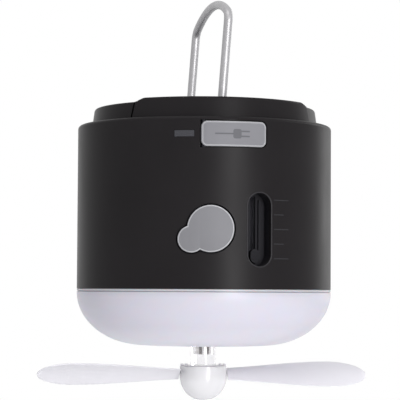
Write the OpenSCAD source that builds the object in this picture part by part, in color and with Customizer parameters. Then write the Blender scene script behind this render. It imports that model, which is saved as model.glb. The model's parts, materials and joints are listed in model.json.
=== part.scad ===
// Hanging camping fan with a lamp: a drum housing with a wire hook on top,
// a milky lens below and a two-blade rotor under the lens.
// Millimetres. +Z is up and the front, with the port cover, faces -Y.
// Every module is drawn with z = 0 at the joint of housing and lens, on the
// drum's axis, and in_frame() then moves it so that the origin is the hang point.

/* [Housing] */
// Outside diameter of the drum housing
body_d = 108; // [106:0.5:116]
// Height of the housing, from the lens to the ledge round the crown
body_h = 69; // [62:0.5:76]
// Wall of the housing
wall = 2.2; // [2:0.1:2.6]
// Radius of the housing's top edge
shoulder_r = 1.5; // [1:0.1:1.8]

/* [Crown] */
// Width of the ledge round the crown
crown_step = 5.2; // [5:0.1:5.8]
// Height of the crown's raised front and rear parts above the ledge
crown_h = 8.5; // [8.2:0.1:8.8]
// How much lower the crown's sides are than its front and rear
side_drop = 1.4; // [1.2:0.1:1.8]
// How far the crown's sides stand back from its front and rear
side_inset = 0.8; // [0.5:0.1:1]
// Radius that the crown loses to draft from its foot to its top
crown_draft = 1.2; // [0.4:0.1:1.6]
// Wall of the crown at its foot
crown_wall = 6; // [5.8:0.1:6.4]
// Radius of the crown's top edge
crown_edge_r = 0.8; // [0.6:0.1:1.6]
// Distance from the middle plane to the ends of the raised parts, at the foot
raised_y = 30.5; // [30:0.1:31.5]
// How far the end of a raised part leans back up to the lowered sides
raised_lean = 0.3; // [0:0.1:0.6]
// Width of the ramp from the lowered to the raised top
ramp_w = 2; // [1.5:0.1:3]
// Width of the notch at each end of a raised part
notch_w = 1.5; // [1.2:0.1:2]
// Depth of the notch into the crown's wall
notch_t = 2.4; // [1.6:0.1:2.8]
// Lean of the notch towards the raised part
notch_lean = 9; // [6:1:11]
// Thickness of the floor inside the crown
deck_t = 2; // [1.8:0.1:2.4]

/* [Hook] */
// Diameter of the hook's wire
wire_d = 3.6; // [3:0.1:4]
// Space between the outer end of each of the hook's ears and the crown's wall
ear_room = 2; // [2:0.1:6.5]
// Height from the pivot to the middle of the wire at the top of the arch
hook_h = 46.9; // [45:0.1:50]
// Radius of the arch, at the middle of the wire
hook_arch_r = 66; // [50:1:90]
// Radius of the bend between leg and arch, at the middle of the wire
hook_bend_r = 5; // [4:0.5:7]
// Radius of the bend between leg and pivot pin, at the middle of the wire
foot_bend_r = 4; // [3.6:0.1:4.2]
// Height of the pivot above the crown's floor
pivot_h = 3.5; // [3.4:0.1:3.8]
// Width of an ear, along the pivot pin
ear_t = 6; // [5:0.1:6.2]
// Material of an ear round the pivot bore
ear_wall = 1.8; // [1.6:0.1:2]
// Lean of the hook at rest, towards +X
hook_lean = 4.3; // [0:0.1:20]

/* [Port cover] */
// Width of the port cover
cover_w = 26.9; // [25.5:0.1:27.5]
// Height of the port cover
cover_h = 10.5; // [9.8:0.1:11]
// Thickness of the port cover
cover_t = 1.8; // [1.6:0.1:2]
// Radius of the port cover's corners
cover_corner_r = 2.5; // [1.5:0.1:3]
// Distance from the housing's top ledge down to the middle of the ports
port_drop = 7.1; // [6.9:0.1:7.4]
// Diameter of the port cover's hinge pin
cover_pin_d = 1.6; // [1.4:0.1:1.8]

/* [Indicator window] */
// Direction of the window, measured round the drum from the front
window_azimuth = -21.5; // [-24:0.5:-21.5]
// Width of the window
window_w = 7.4; // [5:0.1:7.6]
// Height of the window
window_h = 2.5; // [2:0.1:3]

/* [Button] */
// Direction of the button, measured round the drum from the front
button_azimuth = -10.1; // [-14:0.1:-10]
// Height of the button's middle above the lens
button_z = 24; // [23:0.5:30]
// Diameter of the button's large disc
button_d = 19.4; // [18:0.1:20]
// Diameter of the button's small lobe
lobe_d = 11.4; // [9:0.1:12]
// Sideways distance from the large disc to the lobe
lobe_dx = -7.75; // [-8.5:0.05:-6]
// Vertical distance from the large disc to the lobe
lobe_dz = -4.2; // [-5:0.1:-2]
// How far the button stands proud of the housing
button_proud = 0.5; // [0.2:0.1:1]
// Travel of the button
button_travel = 0.6; // [0.4:0.1:0.8]
// Diameter of the button's stem
stem_d = 4.8; // [4:0.1:5.4]

/* [Slider] */
// Direction of the slot, measured round the drum from the front
slot_azimuth = 11.4; // [11:0.1:15]
// Height of the slot's middle above the lens
slot_z = 23.8; // [23:0.2:30]
// Width of the slot
slot_w = 10.5; // [10:0.1:11]
// Length of the slot
slot_l = 29.6; // [29:0.1:31]
// Depth of the slot's floor below the housing's surface
slot_depth = 6.7; // [6.5:0.1:7.2]
// Width of the slider's knob
knob_w = 3.8; // [3.2:0.1:4]
// Height of the slider's knob
knob_l = 5.5; // [4.6:0.1:5.5]
// How far the slider's knob stands up from the slot's floor
knob_h = 2.4; // [1.6:0.1:2.6]
// Distance between neighbouring settings of the slider
detent_pitch = 5.87; // [5.5:0.01:5.9]
// Height of the knob at rest, from the slot's middle
knob_rest = -10.4; // [-11:0.1:11]

/* [Lens] */
// Depth of the lens below the housing
lens_h = 23.7; // [22:0.1:26]
// Radius of the lens's flat bottom
lens_flat_r = 26; // [22:0.5:30]
// Wall of the lens
lens_wall = 1.8; // [1.5:0.1:2.2]
// Height of the lens's flange
flange_h = 0.9; // [0.7:0.1:1.2]
// Radius of the hole in the lens for the rotor's collar
lens_hole_r = 7; // [6.6:0.1:8]
// Height of the lens's collar inside the housing
spigot_h = 3.2; // [3:0.1:3.4]

/* [Rotor] */
// Radius of the rotor at the blade tips
rotor_r = 70.5; // [66:0.5:76]
// Diameter of the hub
hub_d = 20; // [19:0.5:22]
// Height of the hub's straight wall
hub_wall_h = 4.9; // [4.6:0.1:6]
// Diameter of the hub's collar
collar_d = 10.8; // [10:0.1:11.6]
// Distance from the lens down to the hub
hub_drop = 8.7; // [7:0.1:12]
// Wall of the hub and its cap
hub_wall = 1.3; // [1:0.1:1.6]
// Chord of a blade at the hub
root_chord = 9.4; // [8:0.1:11]
// Largest chord of a blade
wide_chord = 20.2; // [17:0.1:23]
// Distance from the axis to a blade's widest place
wide_r = 55; // [50:0.5:58]
// Pitch of the blades
blade_pitch = 28.5; // [20:0.5:29]
// Thickness of a blade at mid chord
blade_t = 1.1; // [0.8:0.1:1.4]
// Height of a blade's camber as a part of its chord
blade_camber = 0.06; // [0:0.01:0.1]
// Direction of the first blade at rest, measured from +X
rotor_angle = -5; // [-45:1:45]

/* [Motor] */
// Diameter of the motor
motor_d = 24.4; // [23:0.1:26]
// Length of the motor's can
motor_l = 30.4; // [26:0.1:34]
// Diameter of the motor's shaft
shaft_d = 3; // [2.4:0.1:3.2]
// Diameter of the fluted sleeve on the shaft
sleeve_d = 6.2; // [5.8:0.1:6.4]
// Length of the fluted sleeve
sleeve_l = 16; // [14:0.5:20]
// Height of the sleeve's lower end above the hub
sleeve_rise = 4.8; // [1:0.1:6]

/* [Battery] */
// Diameter of a cell
cell_d = 18.4; // [18:0.1:18.6]
// Room between the top of the cells and the housing's ledge
cell_headroom = 5; // [4.2:0.1:8]

/* [Lamp] */
// Number of light chips
chip_count = 24; // [12:2:36]
// Distance of the chips from the axis
chip_ring_r = 36; // [30:0.5:40]
// Thickness of the lamp plate
plate_t = 1.4; // [1.2:0.1:1.6]
// Thickness of the circuit boards
board_t = 1.6; // [1.2:0.1:1.6]

/* [Hidden] */

$fn = 72;
eps = 0.01;          // overshoot of a cut past a face
reach = 200;         // longer than anything that is cut
joint_swell = 0.03;  // how far a lead swells at its bends

// Clearances
seat_gap = 0.1;      // between fixed parts that slide together
move_gap = 0.3;      // between parts that move past each other
pin_gap = 0.06;      // radial, between a pin and its bore
thread_gap = 0.03;   // radial, between a screw and its threaded hole
hole_gap = 0.15;     // radial, between a screw and a hole that it passes through
tip_gap = 0.4;       // between a screw's tip and the end of its hole
bite = 0.3;          // how far a boss or rib reaches into the wall it stands on

// Housing and crown
body_r = body_d / 2;
inner_r = body_r - wall;
crown_r = body_r - crown_step;
ring_in_r = crown_r - crown_wall;
side_r = crown_r - side_inset;
crown_top_z = body_h + crown_h;
side_top_z = crown_top_z - side_drop;
opening_r = ring_in_r - 1.8;
deck_top_z = body_h + deck_t;
roof_z = body_h - wall;
raised_flat = 1;
notch_azimuth = acos(raised_y / crown_r);

// Hook
wire_r = wire_d / 2;
ring_swell = 0.05;
ring_l = 0.4;
ear_y = ring_in_r - ear_room - ear_t;
pin_y = ear_y - move_gap;
leg_y = pin_y - foot_bend_r;
pivot_z = deck_top_z + pivot_h;
hang_r = hook_h - wire_r;
hang_x = hang_r * sin(hook_lean);
hang_z = pivot_z + hang_r * cos(hook_lean);
arch_z = hook_h - hook_arch_r;
arch_bend_z = arch_z + sqrt(pow(hook_arch_r - hook_bend_r, 2) - pow(leg_y - hook_bend_r, 2));
arch_half = asin((leg_y - hook_bend_r) / (hook_arch_r - hook_bend_r));
ear_r = wire_r + pin_gap + ear_wall;
ear_foot = 1;
ear_foot_h = 1.2;
ear_w = 2 * (ear_r + ear_foot);

// Ports
port_z = body_h - port_drop;
cover_out_r = body_r + 0.15;
cover_in_r = cover_out_r - cover_t;
knuckle_r = 1.2;
knuckle_x = -cover_w / 2 + knuckle_r;
knuckle_y = -sqrt(pow(cover_out_r - knuckle_r - 0.05, 2) - pow(knuckle_x, 2));
cover_pin_r = cover_pin_d / 2;
cover_pin_l = cover_h + 1.8;
pad_w = cover_w + 7;
pad_h = cover_h + 4.6;
pad_y = -(inner_r - 4.2);
pry_r = 4;
pry_x = cover_w / 2 + 1.1;
pry_y = -body_r - 2.6;
pry_rise = 1.8;
pocket_square = 0.5;
usb_a_x = -5.2;
usb_a_w = 13.2;
usb_a_h = 5.8;
usb_a_l = 13.6;
usb_c_x = 8.4;
usb_c_w = 9;
usb_c_h = 3.2;
usb_c_l = 7.4;
socket_wall = 0.5;
socket_back = 1.2;
socket_front_y = pad_y - 2.6;
socket_foot_y = socket_front_y + 4;
port_gap = 0.3;
tongue_a_t = 1.6;
tongue_a_rise = 0.9;
tongue_c_t = 0.8;
tongue_set_back = 0.9;

// Indicator window and its light
window_x = body_r * sin(window_azimuth);
window_depth = 8;
window_in_y = inner_r - window_depth;
window_flange = 0.9;
led_y = window_in_y;
led_t = 3;
led_foot_inset = 1;

// Control board
board_top_z = port_z - usb_a_h / 2 - 0.7;
board_low_z = board_top_z - board_t;
board_r = -pad_y - move_gap;
board_back_y = -15;
pillar_ring_r = ring_in_r + 1.2;
pillar_r = 3;
pillar_azimuths = [-62, -32, 32, 62];

// Screws
screw_r = 1.25;
head_r = 2.3;
head_h = 1.6;
small_screw_r = 1;
small_head_r = 1.9;
small_head_h = 1.2;
driver_slot_w = 0.5;
driver_slot_t = 1.2;
boss_wall = 1.5;
cover_screw_ring_r = ring_in_r + 1.9;
cover_screw_l = 7;
cover_screw_azimuths = [-133, -47, 47, 133];
board_screw_l = 7;
carrier_screw_bite = 4;
wing_screw_bite = 2.6;

// Button, measured along its own radius from the drum's axis
button_r = button_d / 2;
lobe_r = lobe_d / 2;
button_gap = 0.35;
button_lip = 1.2;
lip_t = 1.2;
lip_out_r = inner_r - move_gap;
lip_in_r = lip_out_r - lip_t;
stem_r = stem_d / 2;
guide_wall = 2;
guide_proud = 1.4;
carrier_back = 4.8;
carrier_y = inner_r - carrier_back;
carrier_t = 2.2;
carrier_w = 15;
carrier_l = 36;
carrier_screw_z = 14.5;
stem_proud = 1.4;
stem_end_y = carrier_y - carrier_t - stem_proud;
switch_side = 6;
switch_t = 3.4;
press_room = 0.7;
switch_front_y = stem_end_y - button_travel - press_room;
switch_back_y = switch_front_y - switch_t;
plunger_r = 1.75;
plunger_tail = 0.9;
boss_r = screw_r + boss_wall;

// Slider, measured along its own radius from the drum's axis
slot_r = slot_w / 2;
track_wall = 1.5;
track_floor_y = body_r - slot_depth;
track_floor_t = 1.6;
track_back_y = track_floor_y - track_floor_t;
rail_w = 1;
rail_h = 1;
rail_x = knob_w / 2 + move_gap;
lever_w = 1.8;
lever_l = 3;
slider_range = 4 * detent_pitch;
slit_l = slider_range + lever_l + 2 * move_gap;
wing_w = 7.2;
wing_l = 26;
wing_screw_x = slot_r + track_wall + 3.6;
wing_screw_z = 10;
resistor_w = 7;
resistor_l = 34;
resistor_t = 4.5;
resistor_wall = 0.8;
resistor_end = 1.5;
lever_end_y = track_back_y - 2.5;
groove_w = 0.5;
groove_t = 0.4;

// Lens
lens_groove = 0.4;
spigot_r = inner_r - 0.2;
spigot_in_r = spigot_r - lens_wall;
ring_section_r = 0.58;
ring_z = 1.2;
bead_r = 0.35;
bead_z = 2.6;

// Lamp plate, board and chips
plate_top_z = -1.8;
plate_low_z = plate_top_z - plate_t;
plate_r = spigot_in_r - 0.4;
lamp_board_t = 1.2;
lamp_board_low_z = plate_low_z - lamp_board_t;
lamp_board_in_r = 20;
lamp_board_out_r = plate_r - 4;
chip_w = 2.8;
chip_l = 3.5;
chip_h = 0.8;
guard_wall = 1.6;
plate_boss_ring_r = spigot_in_r - 4.8;
plate_boss_r = 3;
plate_boss_h = 16;
plate_rib_w = 3;
plate_rib_low_z = spigot_h + 0.6;
plate_screw_l = 9;
plate_azimuths = [45, 135, 225, 315];

// Motor
motor_r = motor_d / 2;
shaft_r = shaft_d / 2;
sleeve_r = sleeve_d / 2;
mount_t = 2.4;
mount_top_z = plate_top_z + mount_t;
mount_r = motor_r + 6.2;
mount_screw_ring_r = motor_r + 3.2;
mount_azimuths = [60, 180, 300];
mount_boss_h = 3;
mount_screw_bite = 2;
mount_cup_h = 9;
mount_cup_wall = 1.4;
motor_top_z = mount_top_z + motor_l;
bush_r = 3.5;
bush_h = 1.6;
endbell_r = motor_r - 0.6;
endbell_h = 2.6;
tag_x = 6;
tag_w = 2.4;
tag_t = 0.5;
tag_h = 3.4;
motor_screw_x = 8;
motor_screw_bite = 3;

// Rotor
hub_r = hub_d / 2;
hub_top_z = -lens_h - hub_drop;
hub_low_z = hub_top_z - hub_wall_h;
collar_r = collar_d / 2;
collar_top_z = -lens_h + 1.2;
collar_in_r = sleeve_r + seat_gap;
sleeve_low_z = hub_top_z + sleeve_rise;
sleeve_top_z = sleeve_low_z + sleeve_l;
shaft_low_z = sleeve_low_z;
shaft_top_z = motor_top_z - 4;
shaft_bore_top_z = shaft_top_z + 1;
flute_count = 7;
flute_w = 1.2;
flute_t = 0.5;
blade_drop = 3.7;
blade_z = hub_top_z - blade_drop;
tenon_w = 7;
tenon_t = 1.6;
tenon_proud = 1;
tenon_inside = 0.5;
tenon_land = 0.7;

// Battery
cell_r = cell_d / 2;
cradle_wall = 0.9;
cradle_floor = 0.8;
cradle_h = 32;
cell_x = cell_r + 0.6;
cell_low_z = plate_top_z + cradle_floor;
cell_top_z = body_h - cell_headroom;
cell_l = cell_top_z - cell_low_z;
cell_y = sqrt(pow(spigot_in_r - move_gap - cell_r - cradle_wall - seat_gap, 2) - pow(cell_x, 2));
link_w = 6;
link_t = 0.3;
tip_r = 3;
tip_h = 0.8;

// Leads
lead_r = 0.7;
motor_lead_rise = 6;
motor_lead_y = board_back_y - 4;
lead_drop = 6;
battery_lead_y = board_back_y - 3;
lamp_lead_out = 13.8;
lamp_lead_x = motor_r + lamp_lead_out;
lamp_lead_y = 3;
lamp_lead_drop = 11;
lamp_lead_bend_z = board_low_z - lamp_lead_drop;
lamp_lead_end_x = 18;
lamp_lead_end_y = board_back_y - 5;

// ---- Helpers ----

// Moves a piece so that the origin is the hang point
module in_frame() {
    translate([-hang_x, 0, -hang_z]) children();
}

// Turns a piece drawn at the front, facing -Y, to its place round the drum
module at_azimuth(a) {
    rotate([0, 0, a]) children();
}

// Draws a 2D shape (sideways, up) as a bar from y = -far to y = -near
module radial_bar(near, far) {
    translate([0, -near, 0]) rotate([90, 0, 0]) linear_extrude(far - near) children();
}

// A cylinder along the radius, from y = -far to y = -near
module radial_pin(r, near, far) {
    radial_bar(near, far) circle(r);
}

module stadium(w, l) {
    translate([0, l / 2 - w / 2]) circle(w / 2);
    translate([0, w / 2 - l / 2]) circle(w / 2);
    square([w, l - w], center = true);
}

module rounded_rectangle(w, h, r) {
    for (x = [r - w / 2, w / 2 - r], y = [r - h / 2, h / 2 - r]) {
        translate([x, y]) circle(r);
    }
    square([w - 2 * r, h], center = true);
    square([w, h - 2 * r], center = true);
}

module tube(outer, inner, h) {
    difference() {
        cylinder(r = outer, h = h);
        translate([0, 0, -eps]) cylinder(r = inner, h = h + 2 * eps);
    }
}

// A disc whose top edge is rounded
module rounded_disc(r, h, edge) {
    cylinder(r = r, h = h - edge);
    cylinder(r = r - edge, h = h);
    translate([0, 0, h - edge]) rotate_extrude() translate([r - edge, 0]) circle(edge, $fn = 32);
}

// A pan-head screw: head above z = 0, shank down to z = -l
module screw(l, r, head_radius, head_height) {
    difference() {
        union() {
            cylinder(r = head_radius, h = head_height);
            translate([0, 0, -l]) cylinder(r = r, h = l + eps);
        }
        for (a = [0, 90]) rotate([0, 0, a]) {
            translate([0, 0, head_height]) {
                cube([head_radius * 1.2, driver_slot_w, driver_slot_t], center = true);
            }
        }
    }
}

// A screw driven outwards along the radius, its head's seat at y = -seat
module radial_screw(l, seat) {
    translate([0, -seat, 0]) rotate([-90, 0, 0]) screw(l, screw_r, head_r, head_h);
}

// A round wire through the given points
module wire(points, r) {
    for (i = [0 : len(points) - 2]) {
        v = points[i + 1] - points[i];
        translate(points[i]) {
            rotate([0, acos(v[2] / norm(v)), atan2(v[1], v[0])]) cylinder(r = r, h = norm(v), $fn = 24);
        }
    }
    for (i = [1 : len(points) - 2]) translate(points[i]) sphere(r + joint_swell, $fn = 24);
}

// ---- Outlines shared by a piece and its hole ----

module cover_outline(grow = 0) {
    rounded_rectangle(cover_w + 2 * grow, cover_h + 2 * grow, cover_corner_r + grow);
}

module button_outline(grow = 0) {
    circle(button_r + grow);
    translate([lobe_dx, lobe_dz]) circle(lobe_r + grow);
}

// ---- Housing ----

module housing_shell() {
    difference() {
        rounded_disc(body_r, body_h, shoulder_r);
        translate([0, 0, -eps]) cylinder(r = inner_r, h = roof_z + eps);
        translate([0, 0, roof_z - eps]) cylinder(r = opening_r, h = wall + 2 * eps);
    }
}

module port_pad() {
    intersection() {
        translate([0, 0, port_z]) radial_bar(-pad_y, reach) square([pad_w, pad_h], center = true);
        cylinder(r = inner_r + bite, h = roof_z + bite);
    }
}

module plate_bosses() {
    for (a = plate_azimuths) at_azimuth(a) {
        translate([0, -plate_boss_ring_r, plate_top_z]) cylinder(r = plate_boss_r, h = plate_boss_h);
        intersection() {
            translate([-plate_rib_w / 2, -body_r, plate_rib_low_z]) {
                cube([plate_rib_w, body_r - plate_boss_ring_r, plate_boss_h + plate_top_z - plate_rib_low_z]);
            }
            cylinder(r = inner_r + bite, h = reach);
        }
    }
}

module board_pillars() {
    for (a = pillar_azimuths) at_azimuth(a) {
        translate([0, -pillar_ring_r, board_top_z]) cylinder(r = pillar_r, h = roof_z - board_top_z + bite);
    }
}

module carrier_boss() {
    intersection() {
        radial_pin(boss_r, carrier_y, reach);
        translate([0, 0, -reach / 2]) cylinder(r = inner_r + bite, h = reach);
    }
}

module carrier_boss_places() {
    for (s = [-1, 1]) at_azimuth(button_azimuth) {
        translate([0, 0, button_z + s * carrier_screw_z]) children();
    }
}

module wing_boss_places() {
    for (s = [-1, 1]) at_azimuth(slot_azimuth) {
        translate([wing_screw_x, 0, slot_z + s * wing_screw_z]) children();
    }
}

module wing_boss() {
    intersection() {
        radial_pin(boss_r, track_floor_y, reach);
        translate([-wing_screw_x, 0, -reach / 2]) cylinder(r = inner_r + bite, h = reach);
    }
}

module port_cuts() {
    translate([0, 0, port_z]) {
        difference() {
            radial_bar(cover_in_r - cover_t, reach) {
                cover_outline(move_gap);
                translate([-cover_w / 2 - pocket_square, -cover_h / 2 - move_gap]) {
                    square([cover_corner_r + pocket_square, cover_h + 2 * move_gap]);
                }
            }
            translate([0, 0, -reach / 2]) cylinder(r = cover_in_r - move_gap, h = reach);
        }
        translate([knuckle_x, knuckle_y, -cover_h / 2 - move_gap]) {
            cylinder(r = knuckle_r + move_gap, h = cover_h + 2 * move_gap);
        }
        translate([knuckle_x, knuckle_y, -cover_pin_l / 2 - seat_gap]) {
            cylinder(r = cover_pin_r + pin_gap, h = cover_pin_l + 2 * seat_gap);
        }
        translate([usb_a_x, 0]) radial_bar(0, reach) {
            square([usb_a_w + 2 * port_gap, usb_a_h + 2 * port_gap], center = true);
        }
        translate([usb_c_x, 0]) radial_bar(0, reach) stadium_flat(usb_c_w + 2 * port_gap, usb_c_h + 2 * port_gap);
        translate([pry_x, pry_y, pry_rise]) sphere(pry_r);
    }
}

module stadium_flat(w, h) {
    rotate(90) stadium(h, w);
}

module window_bar(grow, near, far) {
    translate([window_x, 0, port_z]) {
        radial_bar(near, far) square([window_w + 2 * grow, window_h + 2 * grow], center = true);
    }
}

// The window's inner flange, or the room for it
module window_flange_bar(grow, near, outer) {
    intersection() {
        window_bar(window_flange + grow, near, reach);
        cylinder(r = outer, h = reach);
    }
}

module housing() color("#262426") in_frame() difference() {
    union() {
        housing_shell();
        port_pad();
        plate_bosses();
        board_pillars();
        carrier_boss_places() carrier_boss();
        wing_boss_places() wing_boss();
    }
    port_cuts();
    window_bar(seat_gap, window_in_y, reach);
    window_flange_bar(seat_gap, -pad_y - wall, inner_r);
    at_azimuth(button_azimuth) translate([0, 0, button_z]) {
        radial_bar(carrier_y, reach) button_outline(button_gap);
    }
    at_azimuth(slot_azimuth) translate([0, 0, slot_z]) radial_bar(track_floor_y, reach) stadium(slot_w, slot_l);
    translate([0, 0, bead_z]) rotate_extrude() translate([spigot_r, 0]) circle(bead_r + seat_gap, $fn = 32);
    for (a = cover_screw_azimuths) at_azimuth(a) {
        translate([0, -cover_screw_ring_r, roof_z - eps]) cylinder(r = screw_r + hole_gap, h = wall + 2 * eps);
    }
    for (a = pillar_azimuths) at_azimuth(a) {
        translate([0, -pillar_ring_r, board_top_z - eps]) {
            cylinder(r = screw_r + thread_gap, h = board_screw_l - board_t + tip_gap);
        }
    }
    for (a = plate_azimuths) at_azimuth(a) {
        translate([0, -plate_boss_ring_r, plate_top_z - eps]) {
            cylinder(r = screw_r + thread_gap, h = plate_screw_l - plate_t + tip_gap);
        }
    }
    carrier_boss_places() radial_pin(screw_r + thread_gap, carrier_y - eps, carrier_y + carrier_screw_bite + tip_gap);
    wing_boss_places() radial_pin(screw_r + thread_gap, track_floor_y - eps, track_floor_y + wing_screw_bite + tip_gap);
}

// ---- Crown ----

// The crown's wall of revolution, up to the height and out to the radius given
module crown_wall_ring(outer, top, edge) {
    rise = top - body_h;
    top_r = outer - crown_draft * rise / crown_h;
    difference() {
        union() {
            translate([0, 0, body_h]) {
                cylinder(r1 = outer, r2 = top_r + crown_draft * edge / crown_h, h = rise - edge);
                cylinder(r = top_r - edge, h = rise);
            }
            translate([0, 0, top - edge]) {
                rotate_extrude() translate([top_r - edge, 0]) circle(edge, $fn = 32);
            }
        }
        translate([0, 0, body_h - eps]) cylinder(r = ring_in_r, h = rise + 2 * eps);
    }
}

// What the raised front part of the crown keeps, seen from the side
module raised_side_profile() {
    polygon([
        [raised_y, body_h - 1],
        [raised_y + raised_lean, side_top_z],
        [raised_y + raised_lean + raised_flat, side_top_z],
        [raised_y + raised_lean + raised_flat + ramp_w, crown_top_z + eps],
        [body_r, crown_top_z + eps],
        [body_r, body_h - 1]
    ]);
}

module raised_parts() {
    for (s = [0, 1]) mirror([0, s, 0]) intersection() {
        crown_wall_ring(crown_r, crown_top_z, crown_edge_r);
        translate([-body_r, 0, 0]) rotate([90, 0, 90]) linear_extrude(body_d) raised_side_profile();
    }
}

// The notches that set the raised parts off from the lowered sides
module end_notches() {
    for (front = [0, 1], left = [0, 1]) mirror([0, front, 0]) mirror([left, 0, 0]) at_azimuth(notch_azimuth) {
        translate([0, -crown_r, body_h]) rotate([0, -notch_lean, 0]) {
            translate([-notch_w / 2, -1, -1]) cube([notch_w, notch_t + 1, crown_h + 2]);
        }
    }
}

module ear() {
    translate([0, ear_y, pivot_z]) rotate([-90, 0, 0]) cylinder(r = ear_r, h = ear_t);
    translate([-ear_r, ear_y, deck_top_z - eps]) cube([2 * ear_r, ear_t, pivot_h + eps]);
    translate([-ear_w / 2, ear_y, deck_top_z - eps]) cube([ear_w, ear_t, ear_foot_h]);
}

module top_cover() color("#262426") in_frame() difference() {
    union() {
        crown_wall_ring(side_r, side_top_z, crown_edge_r);
        raised_parts();
        translate([0, 0, body_h]) cylinder(r = ring_in_r + eps, h = deck_t);
        translate([0, 0, roof_z]) cylinder(r = opening_r - seat_gap, h = wall + eps);
        ear();
        mirror([0, 1, 0]) ear();
    }
    translate([0, 0, pivot_z]) rotate([90, 0, 0]) {
        cylinder(r = wire_r + pin_gap, h = 2 * (ear_y + ear_t + eps), center = true);
    }
    translate([0, 0, roof_z - eps]) cylinder(r = opening_r - seat_gap - wall, h = wall + eps);
    end_notches();
    for (a = cover_screw_azimuths) at_azimuth(a) {
        translate([0, -cover_screw_ring_r, body_h - eps]) {
            cylinder(r = screw_r + thread_gap, h = cover_screw_l - wall + tip_gap);
        }
    }
}

module cover_screws() color("#b8b8bc") in_frame() {
    for (a = cover_screw_azimuths) at_azimuth(a) {
        translate([0, -cover_screw_ring_r, roof_z]) mirror([0, 0, 1]) screw(cover_screw_l, screw_r, head_r, head_h);
    }
}

// ---- Hook ----

// The slight ring where two stretches of the wire meet, across a wire that runs at the given angle
module wire_ring(place, angle) {
    translate(place) rotate([0, 0, angle]) rotate([0, 90, 0]) {
        cylinder(r = wire_r + ring_swell, h = ring_l, center = true);
    }
}

// Half of the hook in its own plane: x sideways, y up, pivot at the origin
module half_hook() {
    wire_ring([hook_arch_r * sin(arch_half), arch_z + hook_arch_r * cos(arch_half), 0], -arch_half);
    wire_ring([leg_y, arch_bend_z, 0], 90);
    wire_ring([leg_y, foot_bend_r, 0], 90);
    wire_ring([pin_y, 0, 0], 0);
    translate([leg_y - hook_bend_r, arch_bend_z, 0]) {
        rotate_extrude(angle = 90 - arch_half) translate([hook_bend_r, 0]) circle(wire_r);
    }
    translate([leg_y, foot_bend_r, 0]) rotate([-90, 0, 0]) cylinder(r = wire_r, h = arch_bend_z - foot_bend_r);
    translate([leg_y + foot_bend_r, foot_bend_r, 0]) {
        rotate([0, 0, 180]) rotate_extrude(angle = 90) translate([foot_bend_r, 0]) circle(wire_r);
    }
    translate([pin_y, 0, 0]) rotate([0, 90, 0]) cylinder(r = wire_r, h = ear_t);
}

module carry_hook() color("#b4b4b2") in_frame() {
    translate([0, 0, pivot_z]) rotate([0, hook_lean, 0]) rotate([90, 0, 90]) {
        translate([0, arch_z, 0]) rotate([0, 0, 90 - arch_half]) {
            rotate_extrude(angle = 2 * arch_half) translate([hook_arch_r, 0]) circle(wire_r);
        }
        half_hook();
        mirror([1, 0, 0]) half_hook();
    }
}

// ---- Ports ----

module port_cover() color("#929296") in_frame() translate([0, 0, port_z]) {
    intersection() {
        radial_bar(0, reach) cover_outline();
        union() {
            intersection() {
                tube_between(cover_in_r, cover_out_r);
                translate([knuckle_x, -reach, -reach / 2]) cube([reach, reach, reach]);
            }
            translate([knuckle_x, knuckle_y, -cover_h / 2]) cylinder(r = knuckle_r, h = cover_h);
        }
    }
    translate([knuckle_x, knuckle_y, -cover_pin_l / 2]) cylinder(r = cover_pin_r, h = cover_pin_l);
}

module tube_between(inner, outer) {
    translate([0, 0, -cover_h]) tube(outer, inner, 2 * cover_h);
}

module indicator_window() color("#8a8a8e") in_frame() {
    intersection() {
        window_bar(0, window_in_y, reach);
        cylinder(r = body_r, h = reach);
    }
    window_flange_bar(0, window_in_y, inner_r - seat_gap);
}

module status_led() color("#e8e8d8") in_frame() translate([window_x, 0, port_z]) {
    radial_bar(led_y - led_t, led_y) square([window_w - 2, window_h], center = true);
    translate([-window_w / 4, led_foot_inset - led_y, board_top_z - port_z]) {
        cube([window_w / 2, led_t - led_foot_inset, port_z - board_top_z]);
    }
}

module control_board() color("#1f5a3c") in_frame() difference() {
    intersection() {
        translate([0, 0, board_low_z]) cylinder(r = board_r, h = board_t);
        translate([-reach / 2, -reach, 0]) cube([reach, reach + board_back_y, reach]);
    }
    for (a = pillar_azimuths) at_azimuth(a) {
        translate([0, -pillar_ring_r, board_low_z - eps]) cylinder(r = screw_r + hole_gap, h = board_t + 2 * eps);
    }
}

module board_screws() color("#b8b8bc") in_frame() {
    for (a = pillar_azimuths) at_azimuth(a) {
        translate([0, -pillar_ring_r, board_low_z]) mirror([0, 0, 1]) screw(board_screw_l, screw_r, head_r, head_h);
    }
}

module usb_a_socket() color("#c4c4c8") in_frame() translate([usb_a_x, 0, port_z]) {
    difference() {
        radial_bar(-socket_front_y - usb_a_l, -socket_front_y) square([usb_a_w, usb_a_h], center = true);
        radial_bar(-socket_front_y - usb_a_l + socket_back, reach) {
            square([usb_a_w - 2 * socket_wall, usb_a_h - 2 * socket_wall], center = true);
        }
    }
    translate([0, 0, tongue_a_rise]) {
        radial_bar(-socket_front_y - usb_a_l + socket_back / 2, -socket_front_y - tongue_set_back) {
            square([usb_a_w - 3, tongue_a_t], center = true);
        }
    }
    translate([1 - usb_a_w / 2, socket_foot_y, board_top_z - port_z]) {
        cube([usb_a_w - 2, usb_a_l - 5, port_z - board_top_z - usb_a_h / 2 + eps]);
    }
}

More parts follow.
